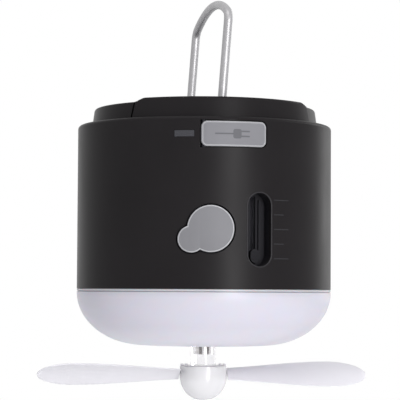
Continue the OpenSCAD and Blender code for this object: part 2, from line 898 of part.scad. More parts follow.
module charge_socket() color("#c4c4c8") in_frame() translate([usb_c_x, 0, port_z]) {
    difference() {
        radial_bar(-socket_front_y - usb_c_l, -socket_front_y) stadium_flat(usb_c_w, usb_c_h);
        radial_bar(-socket_front_y - usb_c_l + socket_back, reach) {
            stadium_flat(usb_c_w - 2 * socket_wall, usb_c_h - 2 * socket_wall);
        }
    }
    radial_bar(-socket_front_y - usb_c_l + socket_back / 2, -socket_front_y - tongue_set_back) {
        square([usb_c_w - 3.4, tongue_c_t], center = true);
    }
    translate([2 - usb_c_w / 2, socket_foot_y, board_top_z - port_z]) {
        cube([usb_c_w - 4, usb_c_l - 4, port_z - board_top_z - usb_c_h / 2 + bite]);
    }
}

// ---- Button ----

module in_button_frame() {
    in_frame() at_azimuth(button_azimuth) translate([0, 0, button_z]) children();
}

module shell_between(inner, outer) {
    difference() {
        translate([0, 0, -reach / 2]) cylinder(r = outer, h = reach);
        translate([0, 0, -reach]) cylinder(r = inner, h = 2 * reach);
    }
}

module button_cap() color("#8f8f93") in_button_frame() {
    intersection() {
        radial_bar(0, reach) button_outline();
        shell_between(lip_out_r - eps, body_r + button_proud);
    }
    intersection() {
        radial_bar(0, reach) button_outline(button_lip);
        shell_between(lip_in_r, lip_out_r);
    }
    radial_pin(stem_r, stem_end_y, lip_in_r + bite);
}

module button_carrier() color("#3a3a3c") in_button_frame() difference() {
    union() {
        radial_bar(carrier_y - carrier_t, carrier_y) square([carrier_w, carrier_l], center = true);
        radial_pin(stem_r + guide_wall, carrier_y - carrier_t, carrier_y + guide_proud);
        for (s = [-1, 1]) translate([0, 0, s * carrier_screw_z]) {
            radial_pin(boss_r, switch_back_y, carrier_y);
        }
    }
    radial_pin(stem_r + pin_gap, carrier_y - carrier_t - eps, carrier_y + guide_proud + eps);
    for (s = [-1, 1]) translate([0, 0, s * carrier_screw_z]) {
        radial_pin(screw_r + hole_gap, switch_back_y - eps, carrier_y + eps);
    }
}

module switch_board() color("#1f5a3c") in_button_frame() difference() {
    radial_bar(switch_back_y - board_t, switch_back_y) square([carrier_w, carrier_l], center = true);
    for (s = [-1, 1]) translate([0, 0, s * carrier_screw_z]) {
        radial_pin(screw_r + hole_gap, switch_back_y - board_t - eps, switch_back_y + eps);
    }
}

module switch_body() color("#151515") in_button_frame() difference() {
    radial_bar(switch_back_y, switch_front_y) square([switch_side, switch_side], center = true);
    radial_pin(plunger_r + pin_gap, switch_front_y - plunger_tail - button_travel - move_gap, switch_front_y + eps);
}

module switch_plunger() color("#d8d4c8") in_button_frame() {
    radial_pin(plunger_r, switch_front_y - plunger_tail, stem_end_y);
}

// ---- Slider ----

module in_slider_frame() {
    in_frame() at_azimuth(slot_azimuth) translate([0, 0, slot_z]) children();
}

module slider_track() color("#2e2c30") in_slider_frame() difference() {
    union() {
        intersection() {
            difference() {
                radial_bar(track_back_y, reach) stadium(slot_w + 2 * track_wall, slot_l + 2 * track_wall);
                radial_bar(track_floor_y, reach) stadium(slot_w, slot_l);
            }
            translate([0, 0, -reach / 2]) cylinder(r = inner_r, h = reach);
        }
        for (s = [-1, 1]) translate([s * (rail_x + rail_w / 2), 0, 0]) {
            radial_bar(track_floor_y - eps, track_floor_y + rail_h) {
                square([rail_w, slot_l - slot_w / 2], center = true);
            }
        }
        radial_bar(track_back_y, track_floor_y) translate([slot_r + track_wall - 1, -wing_l / 2]) {
            square([wing_w, wing_l]);
        }
    }
    radial_bar(track_back_y - eps, track_floor_y + eps) {
        square([lever_w + 2 * move_gap, slit_l], center = true);
    }
    for (s = [-1, 1]) translate([wing_screw_x, 0, s * wing_screw_z]) {
        radial_pin(screw_r + hole_gap, track_back_y - eps, track_floor_y + eps);
    }
}

module slider_knob() color("#48464c") in_slider_frame() translate([0, 0, knob_rest]) {
    difference() {
        radial_bar(track_floor_y + move_gap, track_floor_y + knob_h) stadium(knob_w, knob_l);
        for (s = [-1, 0, 1]) translate([0, -track_floor_y - knob_h, s * knob_l / 4]) {
            cube([knob_w + 1, 2 * groove_t, groove_w], center = true);
        }
    }
    radial_bar(lever_end_y, track_floor_y + move_gap + eps) square([lever_w, lever_l], center = true);
}

module slide_resistor() color("#9a9c9e") in_slider_frame() difference() {
    radial_bar(track_back_y - resistor_t, track_back_y) square([resistor_w, resistor_l], center = true);
    radial_bar(track_back_y - resistor_t + resistor_wall, track_back_y - resistor_wall) {
        square([resistor_w - 2 * resistor_wall, resistor_l - 2 * resistor_end], center = true);
    }
    radial_bar(track_back_y - resistor_wall - eps, track_back_y + eps) {
        square([lever_w + 2 * move_gap, slit_l], center = true);
    }
}

module carrier_screws() color("#b8b8bc") {
    in_button_frame() for (s = [-1, 1]) translate([0, 0, s * carrier_screw_z]) {
        radial_screw(carrier_y - switch_back_y + board_t + carrier_screw_bite, switch_back_y - board_t);
    }
    in_slider_frame() for (s = [-1, 1]) translate([wing_screw_x, 0, s * wing_screw_z]) {
        radial_screw(track_floor_t + wing_screw_bite, track_back_y);
    }
}

// ---- Battery ----

module battery_cell(side) {
    translate([side * cell_x, cell_y, cell_low_z]) {
        cylinder(r = cell_r, h = cell_l - tip_h);
        cylinder(r = tip_r, h = cell_l);
    }
}

module battery_cell_1() color("#4a7fb0") in_frame() battery_cell(-1);

module battery_cell_2() color("#4a7fb0") in_frame() battery_cell(1);

module battery_cradle() color("#d8d8d4") in_frame() difference() {
    translate([0, cell_y, plate_top_z]) {
        for (s = [-1, 1]) translate([s * cell_x, 0, 0]) {
            cylinder(r = cell_r + seat_gap + cradle_wall, h = cradle_h);
        }
    }
    translate([0, cell_y, cell_low_z]) {
        for (s = [-1, 1]) translate([s * cell_x, 0, 0]) cylinder(r = cell_r + seat_gap, h = cradle_h);
    }
}

module cell_link() color("#c8c8c0") in_frame() {
    translate([-cell_x - link_w / 2, cell_y - link_w / 2, cell_top_z]) {
        cube([2 * cell_x + link_w, link_w, link_t]);
    }
}

// ---- Lamp ----

module lamp_plate() color("#f4f4f2") in_frame() difference() {
    union() {
        translate([0, 0, plate_low_z]) cylinder(r = plate_r, h = plate_t);
        translate([0, 0, lens_wall - lens_h + seat_gap]) {
            cylinder(r = lens_hole_r + guard_wall, h = plate_low_z + lens_h - lens_wall);
        }
        for (a = mount_azimuths) at_azimuth(a) {
            translate([0, -mount_screw_ring_r, plate_low_z - mount_boss_h]) {
                cylinder(r = small_screw_r + boss_wall, h = mount_boss_h + eps);
            }
        }
    }
    translate([0, 0, -lens_h]) cylinder(r = lens_hole_r, h = lens_h);
    for (a = plate_azimuths) at_azimuth(a) {
        translate([0, -plate_boss_ring_r, plate_low_z - eps]) {
            cylinder(r = screw_r + hole_gap, h = plate_t + 2 * eps);
        }
    }
    for (a = mount_azimuths) at_azimuth(a) {
        translate([0, -mount_screw_ring_r, plate_low_z - mount_screw_bite - tip_gap]) {
            cylinder(r = small_screw_r + thread_gap, h = plate_t + mount_screw_bite + tip_gap + eps);
        }
    }
}

module plate_screws() color("#b8b8bc") in_frame() {
    for (a = plate_azimuths) at_azimuth(a) {
        translate([0, -plate_boss_ring_r, plate_low_z]) mirror([0, 0, 1]) {
            screw(plate_screw_l, screw_r, head_r, head_h);
        }
    }
}

module lamp_board() color("#e6e6e0") in_frame() difference() {
    translate([0, 0, lamp_board_low_z]) tube(lamp_board_out_r, lamp_board_in_r, lamp_board_t);
    for (a = plate_azimuths) at_azimuth(a) {
        translate([0, -plate_boss_ring_r, lamp_board_low_z - eps]) {
            cylinder(r = head_r + move_gap, h = lamp_board_t + 2 * eps);
        }
    }
}

module light_chips() color("#f0d868") in_frame() {
    for (i = [0 : chip_count - 1]) at_azimuth(i * 360 / chip_count + 180 / chip_count) {
        translate([-chip_w / 2, -chip_ring_r - chip_l / 2, lamp_board_low_z - chip_h]) {
            cube([chip_w, chip_l, chip_h]);
        }
    }
}

// Points of the lens's curved outline, from its straight rim to its flat bottom
function lens_curve(inset) = [
    for (a = [0 : 5 : 90]) [
        lens_flat_r + (body_r - lens_flat_r - inset) * cos(a),
        -flange_h - lens_groove - (lens_h - flange_h - lens_groove - inset) * sin(a)
    ]
];

module lens() color("#dcdae6") in_frame() difference() {
    union() {
        rotate_extrude() polygon(concat(
            [
                [lens_hole_r, -lens_h],
                [lens_hole_r, -lens_h + lens_wall]
            ],
            [for (i = [18 : -1 : 0]) lens_curve(lens_wall)[i]],
            [
                [spigot_in_r, -flange_h],
                [spigot_in_r, spigot_h],
                [spigot_r, spigot_h],
                [spigot_r, 0],
                [body_r, 0],
                [body_r, -flange_h],
                [body_r - lens_groove, -flange_h - lens_groove / 2]
            ],
            lens_curve(0)
        ));
        translate([0, 0, bead_z]) rotate_extrude() translate([spigot_r, 0]) circle(bead_r, $fn = 32);
    }
    translate([0, 0, ring_z]) rotate_extrude() {
        translate([inner_r - ring_section_r, 0]) square(2 * ring_section_r + 0.1, center = true);
    }
}

module lens_gasket() color("#3c3c3e") in_frame() {
    translate([0, 0, ring_z]) rotate_extrude() {
        translate([inner_r - ring_section_r - 0.01, 0]) circle(ring_section_r, $fn = 32);
    }
}

// ---- Motor ----

module motor_mount() color("#e0e0dc") in_frame() difference() {
    union() {
        translate([0, 0, plate_top_z]) cylinder(r = mount_r, h = mount_t);
        translate([0, 0, plate_top_z]) cylinder(r = motor_r + mount_cup_wall, h = mount_t + mount_cup_h);
    }
    translate([0, 0, mount_top_z]) cylinder(r = motor_r + seat_gap, h = mount_cup_h + eps);
    translate([0, 0, plate_top_z - eps]) cylinder(r = bush_r + seat_gap, h = mount_t + 2 * eps);
    for (s = [-1, 1]) translate([s * motor_screw_x, 0, plate_top_z - eps]) {
        cylinder(r = small_screw_r + hole_gap, h = mount_t + 2 * eps);
        cylinder(r = small_head_r + seat_gap, h = small_head_h + seat_gap);
    }
    for (a = mount_azimuths) at_azimuth(a) {
        translate([0, -mount_screw_ring_r, plate_top_z - eps]) {
            cylinder(r = small_screw_r + hole_gap, h = mount_t + 2 * eps);
            translate([0, 0, mount_t]) cylinder(r = small_head_r + seat_gap, h = mount_cup_h + 1);
        }
    }
}

module mount_screws() color("#b8b8bc") in_frame() {
    for (a = mount_azimuths) at_azimuth(a) {
        translate([0, -mount_screw_ring_r, mount_top_z]) {
            screw(mount_t + plate_t + mount_screw_bite, small_screw_r, small_head_r, small_head_h);
        }
    }
}

module motor_can() color("#a8a8ac") in_frame() difference() {
    translate([0, 0, mount_top_z]) cylinder(r = motor_r, h = motor_l);
    translate([0, 0, mount_top_z - eps]) cylinder(r = shaft_r + pin_gap, h = shaft_bore_top_z - mount_top_z);
    for (s = [-1, 1]) translate([s * motor_screw_x, 0, mount_top_z - eps]) {
        cylinder(r = small_screw_r + thread_gap, h = motor_screw_bite + tip_gap);
    }
}

module motor_endbell() color("#222224") in_frame() {
    translate([0, 0, motor_top_z]) cylinder(r = endbell_r, h = endbell_h);
    for (s = [-1, 1]) translate([s * tag_x - tag_w / 2, -tag_t / 2, motor_top_z + endbell_h - eps]) {
        cube([tag_w, tag_t, tag_h]);
    }
}

module motor_bush() color("#c8a860") in_frame() {
    translate([0, 0, mount_top_z - bush_h]) tube(bush_r, shaft_r + pin_gap, bush_h);
}

module motor_screws() color("#b8b8bc") in_frame() {
    for (s = [-1, 1]) translate([s * motor_screw_x, 0, plate_top_z + small_head_h]) mirror([0, 0, 1]) {
        screw(mount_t - small_head_h + motor_screw_bite, small_screw_r, small_head_r, small_head_h);
    }
}

// ---- Rotor ----

module in_rotor_frame() {
    in_frame() rotate([0, 0, rotor_angle]) children();
}

module motor_shaft() color("#c8c8cc") in_rotor_frame() {
    translate([0, 0, shaft_low_z]) cylinder(r = shaft_r, h = shaft_top_z - shaft_low_z);
}

module drive_sleeve() color("#c8b078") in_rotor_frame() translate([0, 0, sleeve_low_z]) difference() {
    tube(sleeve_r, shaft_r + 0.01, sleeve_l);
    for (i = [0 : flute_count - 1]) rotate([0, 0, (i + 0.7) * 360 / flute_count]) {
        translate([sleeve_r, 0, sleeve_l / 2]) cube([2 * flute_t, flute_w, sleeve_l + 1], center = true);
    }
}

// The root of a blade in the hub's wall, cut off flat above the wall's lower edge
module tenon_bar(grow, from, to) {
    intersection() {
        translate([from, 0, blade_z]) rotate([blade_pitch, 0, 0]) {
            translate([0, -tenon_w / 2 - grow, -tenon_t / 2 - grow]) {
                cube([to - from, tenon_w + 2 * grow, tenon_t + 2 * grow]);
            }
        }
        translate([0, -tenon_w, hub_low_z + tenon_land - grow]) cube([hub_d, 2 * tenon_w, hub_wall_h]);
    }
}

module fan_hub() color("#e4e2ea") in_rotor_frame() difference() {
    union() {
        translate([0, 0, hub_low_z]) cylinder(r = hub_r, h = hub_wall_h);
        translate([0, 0, hub_top_z - eps]) cylinder(r = collar_r, h = collar_top_z - hub_top_z + eps);
    }
    difference() {
        translate([0, 0, hub_low_z - eps]) cylinder(r = hub_r - hub_wall, h = hub_wall_h - hub_wall + eps);
        translate([0, 0, hub_low_z - 1]) cylinder(r = collar_r, h = hub_wall_h);
    }
    translate([0, 0, sleeve_low_z - seat_gap]) cylinder(r = collar_in_r, h = reach);
    for (a = [0, 180]) rotate([0, 0, a]) {
        tenon_bar(seat_gap, hub_r - hub_wall - tenon_inside, hub_r + tenon_proud);
    }
}

module hub_cap() color("#e4e2ea") in_rotor_frame() translate([0, 0, hub_low_z]) difference() {
    sphere(hub_r);
    sphere(hub_r - hub_wall);
    translate([-hub_d, -hub_d, 0]) cube(2 * hub_d);
}

// Chord of a blade at the distance r from the axis
function spread(r) = (r - hub_r) / (wide_r - hub_r);
function swell(s) = 0.5 * sin(90 * s) + 0.5 * s * s * (3 - 2 * s);
function chord(r) = r < wide_r
    ? root_chord + (wide_chord - root_chord) * swell(spread(r))
    : max(wide_chord * sqrt(max(0, 1 - pow((r - wide_r) / (rotor_r - wide_r), 2))), tip_chord);

tip_chord = 1.6;
root_gap = 0.15;
blade_stations = [
    for (i = [0 : 9]) hub_r + root_gap + (wide_r - hub_r) * i / 10,
    for (i = [0 : 7]) wide_r + (rotor_r - wide_r) * sin(90 * i / 7)
];
blade_across = 8;
blade_edge_t = 0.5;

// Height of the blade's surface over the chord line: side is 1 above, -1 below
function skin(u, c, side) = blade_camber * c * (1 - 4 * u * u)
    + side * (blade_edge_t + (blade_t - blade_edge_t) * (1 - 4 * u * u)) / 2;

function blade_ring(r) = concat(
    [for (i = [0 : blade_across]) blade_point(r, i / blade_across - 0.5, -1)],
    [for (i = [blade_across : -1 : 0]) blade_point(r, i / blade_across - 0.5, 1)]
);
function blade_point(r, u, side) = [r, u * chord(r), skin(u, chord(r), side)];

module blade_skin() {
    ring_n = 2 * (blade_across + 1);
    last = (len(blade_stations) - 1) * ring_n;
    polyhedron(
        points = [for (r = blade_stations) each blade_ring(r)],
        faces = concat(
            [[for (j = [0 : ring_n - 1]) j]],
            [[for (j = [ring_n - 1 : -1 : 0]) last + j]],
            [
                for (i = [0 : len(blade_stations) - 2], j = [0 : ring_n - 1])
                    let (a = i * ring_n, k = (j + 1) % ring_n)
                    each [[a + j, a + ring_n + j, a + ring_n + k], [a + j, a + ring_n + k, a + k]]
            ]
        ),
        convexity = 4
    );
}

module fan_blade() {
    translate([0, 0, blade_z]) rotate([blade_pitch, 0, 0]) blade_skin();
    tenon_bar(0, hub_r - hub_wall, hub_r + tenon_proud);
}

module fan_blade_1() color("#e8e6ec") in_rotor_frame() fan_blade();

module fan_blade_2() color("#e8e6ec") in_rotor_frame() rotate([0, 0, 180]) fan_blade();

// ---- Leads ----

module motor_leads() color("#b03030") in_frame() for (s = [-1, 1]) {
    wire([
        [s * tag_x, tag_t / 2 + lead_r, motor_top_z + endbell_h + tag_h - 2],
        [s * tag_x, tag_t / 2 + lead_r, motor_top_z + endbell_h + motor_lead_rise],
        [s * tag_x, motor_lead_y, board_low_z - lead_drop],
        [s * tag_x, motor_lead_y, board_low_z]
    ], lead_r);
}

module battery_leads() color("#b03030") in_frame() for (s = [-1, 1]) {
    wire([
        [s * cell_x, cell_y - link_w / 2 - lead_r, cell_top_z - tip_h + lead_r],
        [s * cell_x, battery_lead_y, cell_top_z - tip_h + lead_r],
        [s * cell_x, battery_lead_y, board_top_z]
    ], lead_r);
}

module lamp_leads() color("#d0d0d0") in_frame() for (s = [-1, 1]) {
    wire([
        [lamp_lead_x, s * lamp_lead_y, plate_top_z],
        [lamp_lead_x, s * lamp_lead_y, lamp_lead_bend_z],
        [lamp_lead_end_x - s * lamp_lead_y, lamp_lead_end_y, board_low_z - lead_drop],
        [lamp_lead_end_x - s * lamp_lead_y, lamp_lead_end_y, board_low_z]
    ], lead_r);
}

housing();
top_cover();
cover_screws();
carry_hook();
port_cover();
indicator_window();
status_led();
control_board();
board_screws();
usb_a_socket();
charge_socket();
button_cap();
button_carrier();
switch_board();
switch_body();
switch_plunger();
slider_knob();
slider_track();
slide_resistor();
carrier_screws();
battery_cell_1();
battery_cell_2();
battery_cradle();
cell_link();
lamp_plate();
plate_screws();
lamp_board();
light_chips();
lens();
lens_gasket();
motor_mount();
mount_screws();
motor_can();
motor_endbell();
motor_bush();
motor_screws();
motor_shaft();
drive_sleeve();
fan_hub();
hub_cap();
fan_blade_1();
fan_blade_2();
motor_leads();
battery_leads();
lamp_leads();
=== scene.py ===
"""Looks of the hanging camping fan: smooth detailed pieces, finishes, light and camera."""
import json
import math

import bmesh
import bpy
from mathutils import Matrix, Vector


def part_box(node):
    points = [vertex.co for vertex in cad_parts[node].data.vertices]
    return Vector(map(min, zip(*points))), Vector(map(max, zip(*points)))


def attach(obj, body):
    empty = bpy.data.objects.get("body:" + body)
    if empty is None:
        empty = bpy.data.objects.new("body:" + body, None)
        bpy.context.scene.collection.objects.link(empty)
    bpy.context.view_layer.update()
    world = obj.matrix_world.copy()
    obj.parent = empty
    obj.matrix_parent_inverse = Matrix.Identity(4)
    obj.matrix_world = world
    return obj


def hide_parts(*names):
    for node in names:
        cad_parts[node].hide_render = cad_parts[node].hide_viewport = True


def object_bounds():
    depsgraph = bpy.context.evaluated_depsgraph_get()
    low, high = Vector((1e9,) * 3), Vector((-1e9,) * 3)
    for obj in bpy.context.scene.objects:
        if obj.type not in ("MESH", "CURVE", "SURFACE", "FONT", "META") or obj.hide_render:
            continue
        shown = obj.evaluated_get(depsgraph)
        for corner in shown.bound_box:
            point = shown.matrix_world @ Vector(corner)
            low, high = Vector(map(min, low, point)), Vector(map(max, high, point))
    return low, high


MM = 0.001

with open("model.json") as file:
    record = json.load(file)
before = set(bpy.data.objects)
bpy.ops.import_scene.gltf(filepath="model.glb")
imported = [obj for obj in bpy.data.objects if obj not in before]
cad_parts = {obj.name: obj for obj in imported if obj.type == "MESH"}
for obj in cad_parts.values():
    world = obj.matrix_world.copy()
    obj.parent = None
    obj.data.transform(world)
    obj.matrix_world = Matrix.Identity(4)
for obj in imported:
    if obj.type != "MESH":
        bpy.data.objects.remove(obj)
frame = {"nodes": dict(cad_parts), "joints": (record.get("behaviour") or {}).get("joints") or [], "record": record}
cad_low, cad_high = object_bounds()

# ---- Places and sizes, from the frame and the driving dimensions ----
# Lengths are in metres, azimuths in degrees from the front, -Y, and heights of places on the
# drum count from the seam between drum and lens.
JOINTS = {joint["name"]: joint for joint in frame["joints"]}
AXIS_X = JOINTS["fan_spin"]["pos_m"][0]
PIVOT = Vector(JOINTS["hook_fold"]["pos_m"])

BODY_R = 54 * MM
BODY_H = 69 * MM
LENS_H = 23.7 * MM
SEAM_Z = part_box("lens")[0].z + LENS_H
LENS_LOW_Z = SEAM_Z - LENS_H

# Hook
WIRE_R = 1.8 * MM
HOOK_H = 46.9 * MM
HOOK_ARCH_R = 66 * MM
HOOK_BEND_R = 5 * MM
FOOT_BEND_R = 4 * MM
HOOK_LEAN = math.atan2(-PIVOT.x, -PIVOT.z)
PIN_END_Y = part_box("carry_hook")[1].y
PIN_L = 6 * MM
PIN_Y = PIN_END_Y - PIN_L
LEG_Y = PIN_Y - FOOT_BEND_R
LEG_SHARES = (0.1, 0.3, 0.5, 0.7, 0.9)  # of the straight leg, where the wire has a ring
FOOT_STEPS = 12
BEND_STEPS = 14
ARCH_STEPS = 40

# Port cover
COVER_W = 26.9 * MM
COVER_H = 10.5 * MM
COVER_T = 1.8 * MM
COVER_CORNER_R = 2.5 * MM
COVER_PROUD = 0.15 * MM
COVER_FIT = 0.15 * MM
COVER_EDGE = 0.5 * MM
COVER_RIM_W = 0.7 * MM
COVER_FACE_RISE = 0.02 * MM
COVER_FACE_BEVEL = 0.06 * MM
PORT_Z = BODY_H - 7.1 * MM
KNUCKLE_R = 1.2 * MM
KNUCKLE_SHARE = 0.98  # keeps the barrel within the CAD model's knuckle
FLAP_PIN_R = 0.8 * MM

# The raised mark on the port cover, a plug on its cable: x, z, width, height
COVER_MARK = (
    (-4.3 * MM, 0.0, 7.6 * MM, 0.6 * MM),
    (1.0 * MM, 0.0, 3.4 * MM, 3.8 * MM),
    (4.4 * MM, 1.0 * MM, 3.6 * MM, 0.65 * MM),
    (4.4 * MM, -1.0 * MM, 3.6 * MM, 0.65 * MM),
)
MARK_CORNER_D = 1.6 * MM
MARK_DEPTH = 0.1 * MM
MARK_RISE = 0.03 * MM

# Button
BUTTON_AZIMUTH = -10.1
BUTTON_Z = 24 * MM
BUTTON_R = 9.7 * MM
LOBE_R = 5.7 * MM
LOBE_X = -7.75 * MM
LOBE_Z = -4.2 * MM
DISC_STEPS = 90
LOBE_STEPS = 44
BUTTON_PROUD = 0.5 * MM
BUTTON_FIT = 0.3 * MM
BUTTON_EDGE = 0.5 * MM
BUTTON_RIM_W = 0.5 * MM
BUTTON_FACE_RISE = 0.03 * MM
BUTTON_FACE_BEVEL = 0.08 * MM
SKIRT_TOP = -0.25 * MM
SKIRT_LAP = 0.05 * MM
SKIRT_INSET = 0.02 * MM
BUTTON_LIP = 1.2 * MM
LIP_OUT = -2.5 * MM
LIP_IN = -3.7 * MM
STEM_R = 2.4 * MM
STEM_END_R = 43.4 * MM
STEM_LAP = 0.3 * MM

# Cover and button: how deep their faces reach into their rims, and where a round edge is stepped
FACE_DEPTH = 0.3 * MM
ROUNDING_ANGLES = (20, 40, 60, 80, 90)

# Slot with its scale
SLOT_AZIMUTH = 11.4
SLOT_Z = 23.8 * MM
SLOT_W = 10.5 * MM
SLOT_L = 29.6 * MM
SLOT_BEAD_R = 0.3 * MM
SLOT_BEAD_SPREAD = 0.3 * MM
SLOT_BEAD_HEIGHT = -0.08 * MM
DETENT_PITCH = 5.87 * MM
TICK_COUNT = 5
TICK_LONG = 7.4 * MM
TICK_SHORT = 4.9 * MM
TICK_H = 0.34 * MM
TICK_LIFT = 0.25 * MM
TICK_GAP = 1.3  # degrees between the slot and the lines
# Steps (inset, height) of a printed line
TICK_PROFILE = ((0.0, -0.03 * MM), (0.0, 0.012 * MM), (0.03 * MM, 0.02 * MM))

# Lens
LENS_FLAT_R = 26 * MM
LENS_WALL = 1.8 * MM
FLANGE_H = 0.9 * MM
FLANGE_EDGE = 0.1 * MM
LENS_GROOVE = 0.4 * MM
LENS_HOLE_R = 7 * MM
LENS_LIP = 0.25 * MM
SEAM_CLEARANCE = 0.02 * MM
SPIGOT_R = 51.6 * MM
SPIGOT_H = 3.2 * MM
LENS_CURVE_STEPS = 48
LENS_SIDES = 192

# Rotor
ROTOR_ANGLE = math.radians(-5)
ROTOR_R = 70.5 * MM
HUB_R = 10 * MM
HUB_WALL_H = 4.9 * MM
HUB_WALL = 1.3 * MM
HUB_EDGE = 0.5 * MM
HUB_EDGE_CUT = 0.15 * MM
HUB_TOP_Z = LENS_LOW_Z - 8.7 * MM
HUB_LOW_Z = HUB_TOP_Z - HUB_WALL_H
HUB_SIDES = 128
BOWL_END = -89.9  # degrees, just short of the axis
BOWL_STEPS = 40
COLLAR_R = 5.4 * MM
COLLAR_EDGE = 0.2 * MM
COLLAR_TOP_Z = LENS_LOW_Z + 1.2 * MM
COLLAR_SIDES = 96
SLEEVE_R = 3.1 * MM
SLEEVE_LOW_Z = HUB_TOP_Z + 4.8 * MM
SLEEVE_L = 16 * MM
SLEEVE_FIT = 0.1 * MM
FLUTES = 7
FLUTE_TURN = 0.7 * 360 / FLUTES  # degrees from the first blade to the first flute
FLUTE_W = 1.18 * MM
FLUTE_T = 0.42 * MM
FLUTE_DEPTH = 0.3 * MM
ROTOR_CLEARANCE = 0.02 * MM

# Blades, with their roots and the lugs in the hub
ROOT_CHORD = 9.4 * MM
WIDE_CHORD = 20.2 * MM
TIP_CHORD = 0.5 * MM
WIDE_R = 55 * MM
BLADE_PITCH = math.radians(28.5)
BLADE_T = 1.1 * MM
BLADE_EDGE_T = 0.5 * MM
BLADE_EDGE_ANGLES = (-0.9, -0.45, 0, 0.45, 0.9)  # radians
BLADE_CAMBER = 0.06
BLADE_Z = HUB_TOP_Z - 3.7 * MM
BLADE_ROOT_GAP = 0.15 * MM
BLADE_TIP_GAP = 0.004 * MM
BLADE_ACROSS = 14
STATIONS_INSIDE = 30
STATIONS_OUTSIDE = 20
ROOT_INNER_R = COLLAR_R + 0.1 * MM
ROOT_OUTER_R = HUB_R - 0.3 * MM
ROOT_W = 7 * MM
ROOT_T = 1.6 * MM
ROOT_DROP = 0.8 * MM
LUG_RADII = (9.1 * MM, 7.3 * MM)
LUG_L = 1.2 * MM
LUG_W = 2.2 * MM
LUG_H = 1.0 * MM
LUG_DROP = 0.3 * MM
BLOCK_BEVEL = 0.12 * MM


# ---- Mesh helpers ----
TINY = 1e-7
# Degrees between faces from which on their edge is sharp
SHARP = 35
SHARP_BLADE = 50
SHARP_WIRE = 60
# How finely curves are cut
WIRE_SIDES = 32
BAR_SIDES = 48
BAR_SPANS = 6
BEAD_SIDES = 12
CORNER_STEPS = 10
MIN_CORNER_R = 0.05 * MM
BEND_STRIP = 0.9 * MM  # width of the strips in which a solid is bent round the drum


def mesh_object(name, bm, sharp=SHARP, outward=True):
    """A smooth-shaded object of the bmesh, sharp where faces meet at more than sharp degrees."""
    if outward:
        bmesh.ops.recalc_face_normals(bm, faces=bm.faces)
    mesh = bpy.data.meshes.new(name)
    bm.to_mesh(mesh)
    bm.free()
    mesh.shade_smooth()
    mesh.set_sharp_from_angle(angle=math.radians(sharp))
    piece = bpy.data.objects.new(name, mesh)
    bpy.context.scene.collection.objects.link(piece)
    return piece


def finished(piece, body, slot, material, *nodes):
    """Gives a piece its body and material, and hides the CAD nodes that it stands for. The slot is not used."""
    piece.data.materials.clear()
    piece.data.materials.append(material)
    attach(piece, body)
    if nodes:
        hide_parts(*nodes)


def bridge_rings(bm, rings, closed=False):
    """Faces between rings of equally many vertices; closed joins the last ring to the first."""
    pairs = list(zip(rings, rings[1:]))
    if closed:
        pairs.append((rings[-1], rings[0]))
    for lower, upper in pairs:
        for i in range(len(lower)):
            k = (i + 1) % len(lower)
            corners = []
            for vert in (lower[i], lower[k], upper[k], upper[i]):
                if vert not in corners:
                    corners.append(vert)
            if len(corners) > 2:
                bm.faces.new(corners)


def cap_rings(bm, rings):
    """A closed skin over the rings, with a flat face at each end."""
    bridge_rings(bm, rings)
    bm.faces.new(rings[0])
    bm.faces.new(rings[-1])


def revolved(name, profile, segments):
    """A solid of revolution round the drum's axis from a closed loop of (radius, height) points.

    The loop's direction gives the faces theirs, so that a cavity's walls face the cavity.
    """
    bm = bmesh.new()
    rings = []
    for radius, height in profile:
        if radius < TINY:
            rings.append([bm.verts.new((AXIS_X, 0, height))] * segments)
            continue
        ring = []
        for i in range(segments):
            a = 2 * math.pi * i / segments
            x, y = AXIS_X + radius * math.cos(a), radius * math.sin(a)
            ring.append(bm.verts.new((x, y, height)))
        rings.append(ring)
    bridge_rings(bm, rings, closed=True)
    following = profile[1:] + profile[:1]
    area = sum(r0 * z1 - r1 * z0 for (r0, z0), (r1, z1) in zip(profile, following))
    if area < 0:
        bmesh.ops.reverse_faces(bm, faces=bm.faces)
    return mesh_object(name, bm, outward=False)


def square_to(along, direction):
    """The unit vector square to along that lies nearest to a direction."""
    return (direction - along * direction.dot(along)).normalized()


def round_ring(bm, centre, along, normal, radius, sides):
    """A ring of vertices round a centre, square to along, that starts towards the normal."""
    side = along.cross(normal)
    ring = []
    for i in range(sides):
        a = 2 * math.pi * i / sides
        ring.append(bm.verts.new(centre + radius * (math.cos(a) * normal + math.sin(a) * side)))
    return ring


def swept(name, path, radius, sides=WIRE_SIDES):
    """A round wire along a smooth path of points, with flat ends."""
    bm = bmesh.new()
    rings = []
    normal = None
    for i, point in enumerate(path):
        before = path[max(i - 1, 0)]
        after = path[min(i + 1, len(path) - 1)]
        along = (after - before).normalized()
        if normal is None:
            normal = along.orthogonal().normalized()
        normal = square_to(along, normal)
        rings.append(round_ring(bm, point, along, normal, radius, sides))
    cap_rings(bm, rings)
    return mesh_object(name, bm, SHARP_WIRE)


def straight(name, start, end, radius):
    """A round bar with flat ends."""
    path = [start.lerp(end, i / BAR_SPANS) for i in range(BAR_SPANS + 1)]
    return swept(name, path, radius, BAR_SIDES)


# ---- Outlines, and solids on the drum's front ----
def arc(cx, cy, radius, start, end, steps):
    """Points of an arc, its angles in degrees."""
    points = []
    for i in range(steps + 1):
        a = math.radians(start + (end - start) * i / steps)
        points.append((cx + radius * math.cos(a), cy + radius * math.sin(a)))
    return points


def rounded_outline(w, h, r, inset):
    """A rectangle with rounded corners, drawn in by the inset."""
    w, h, r = w - 2 * inset, h - 2 * inset, max(r - inset, MIN_CORNER_R)
    x, y = w / 2 - r, h / 2 - r
    points = []
    for i, (cx, cy) in enumerate(((x, y), (-x, y), (-x, -y), (x, -y))):
        points += arc(cx, cy, r, 90 * i, 90 * (i + 1), CORNER_STEPS)
    return points


def rounded_shape(w, h, r):
    """The outline of a rounded rectangle as a function of its inset."""
    return lambda inset: rounded_outline(w, h, r, inset)


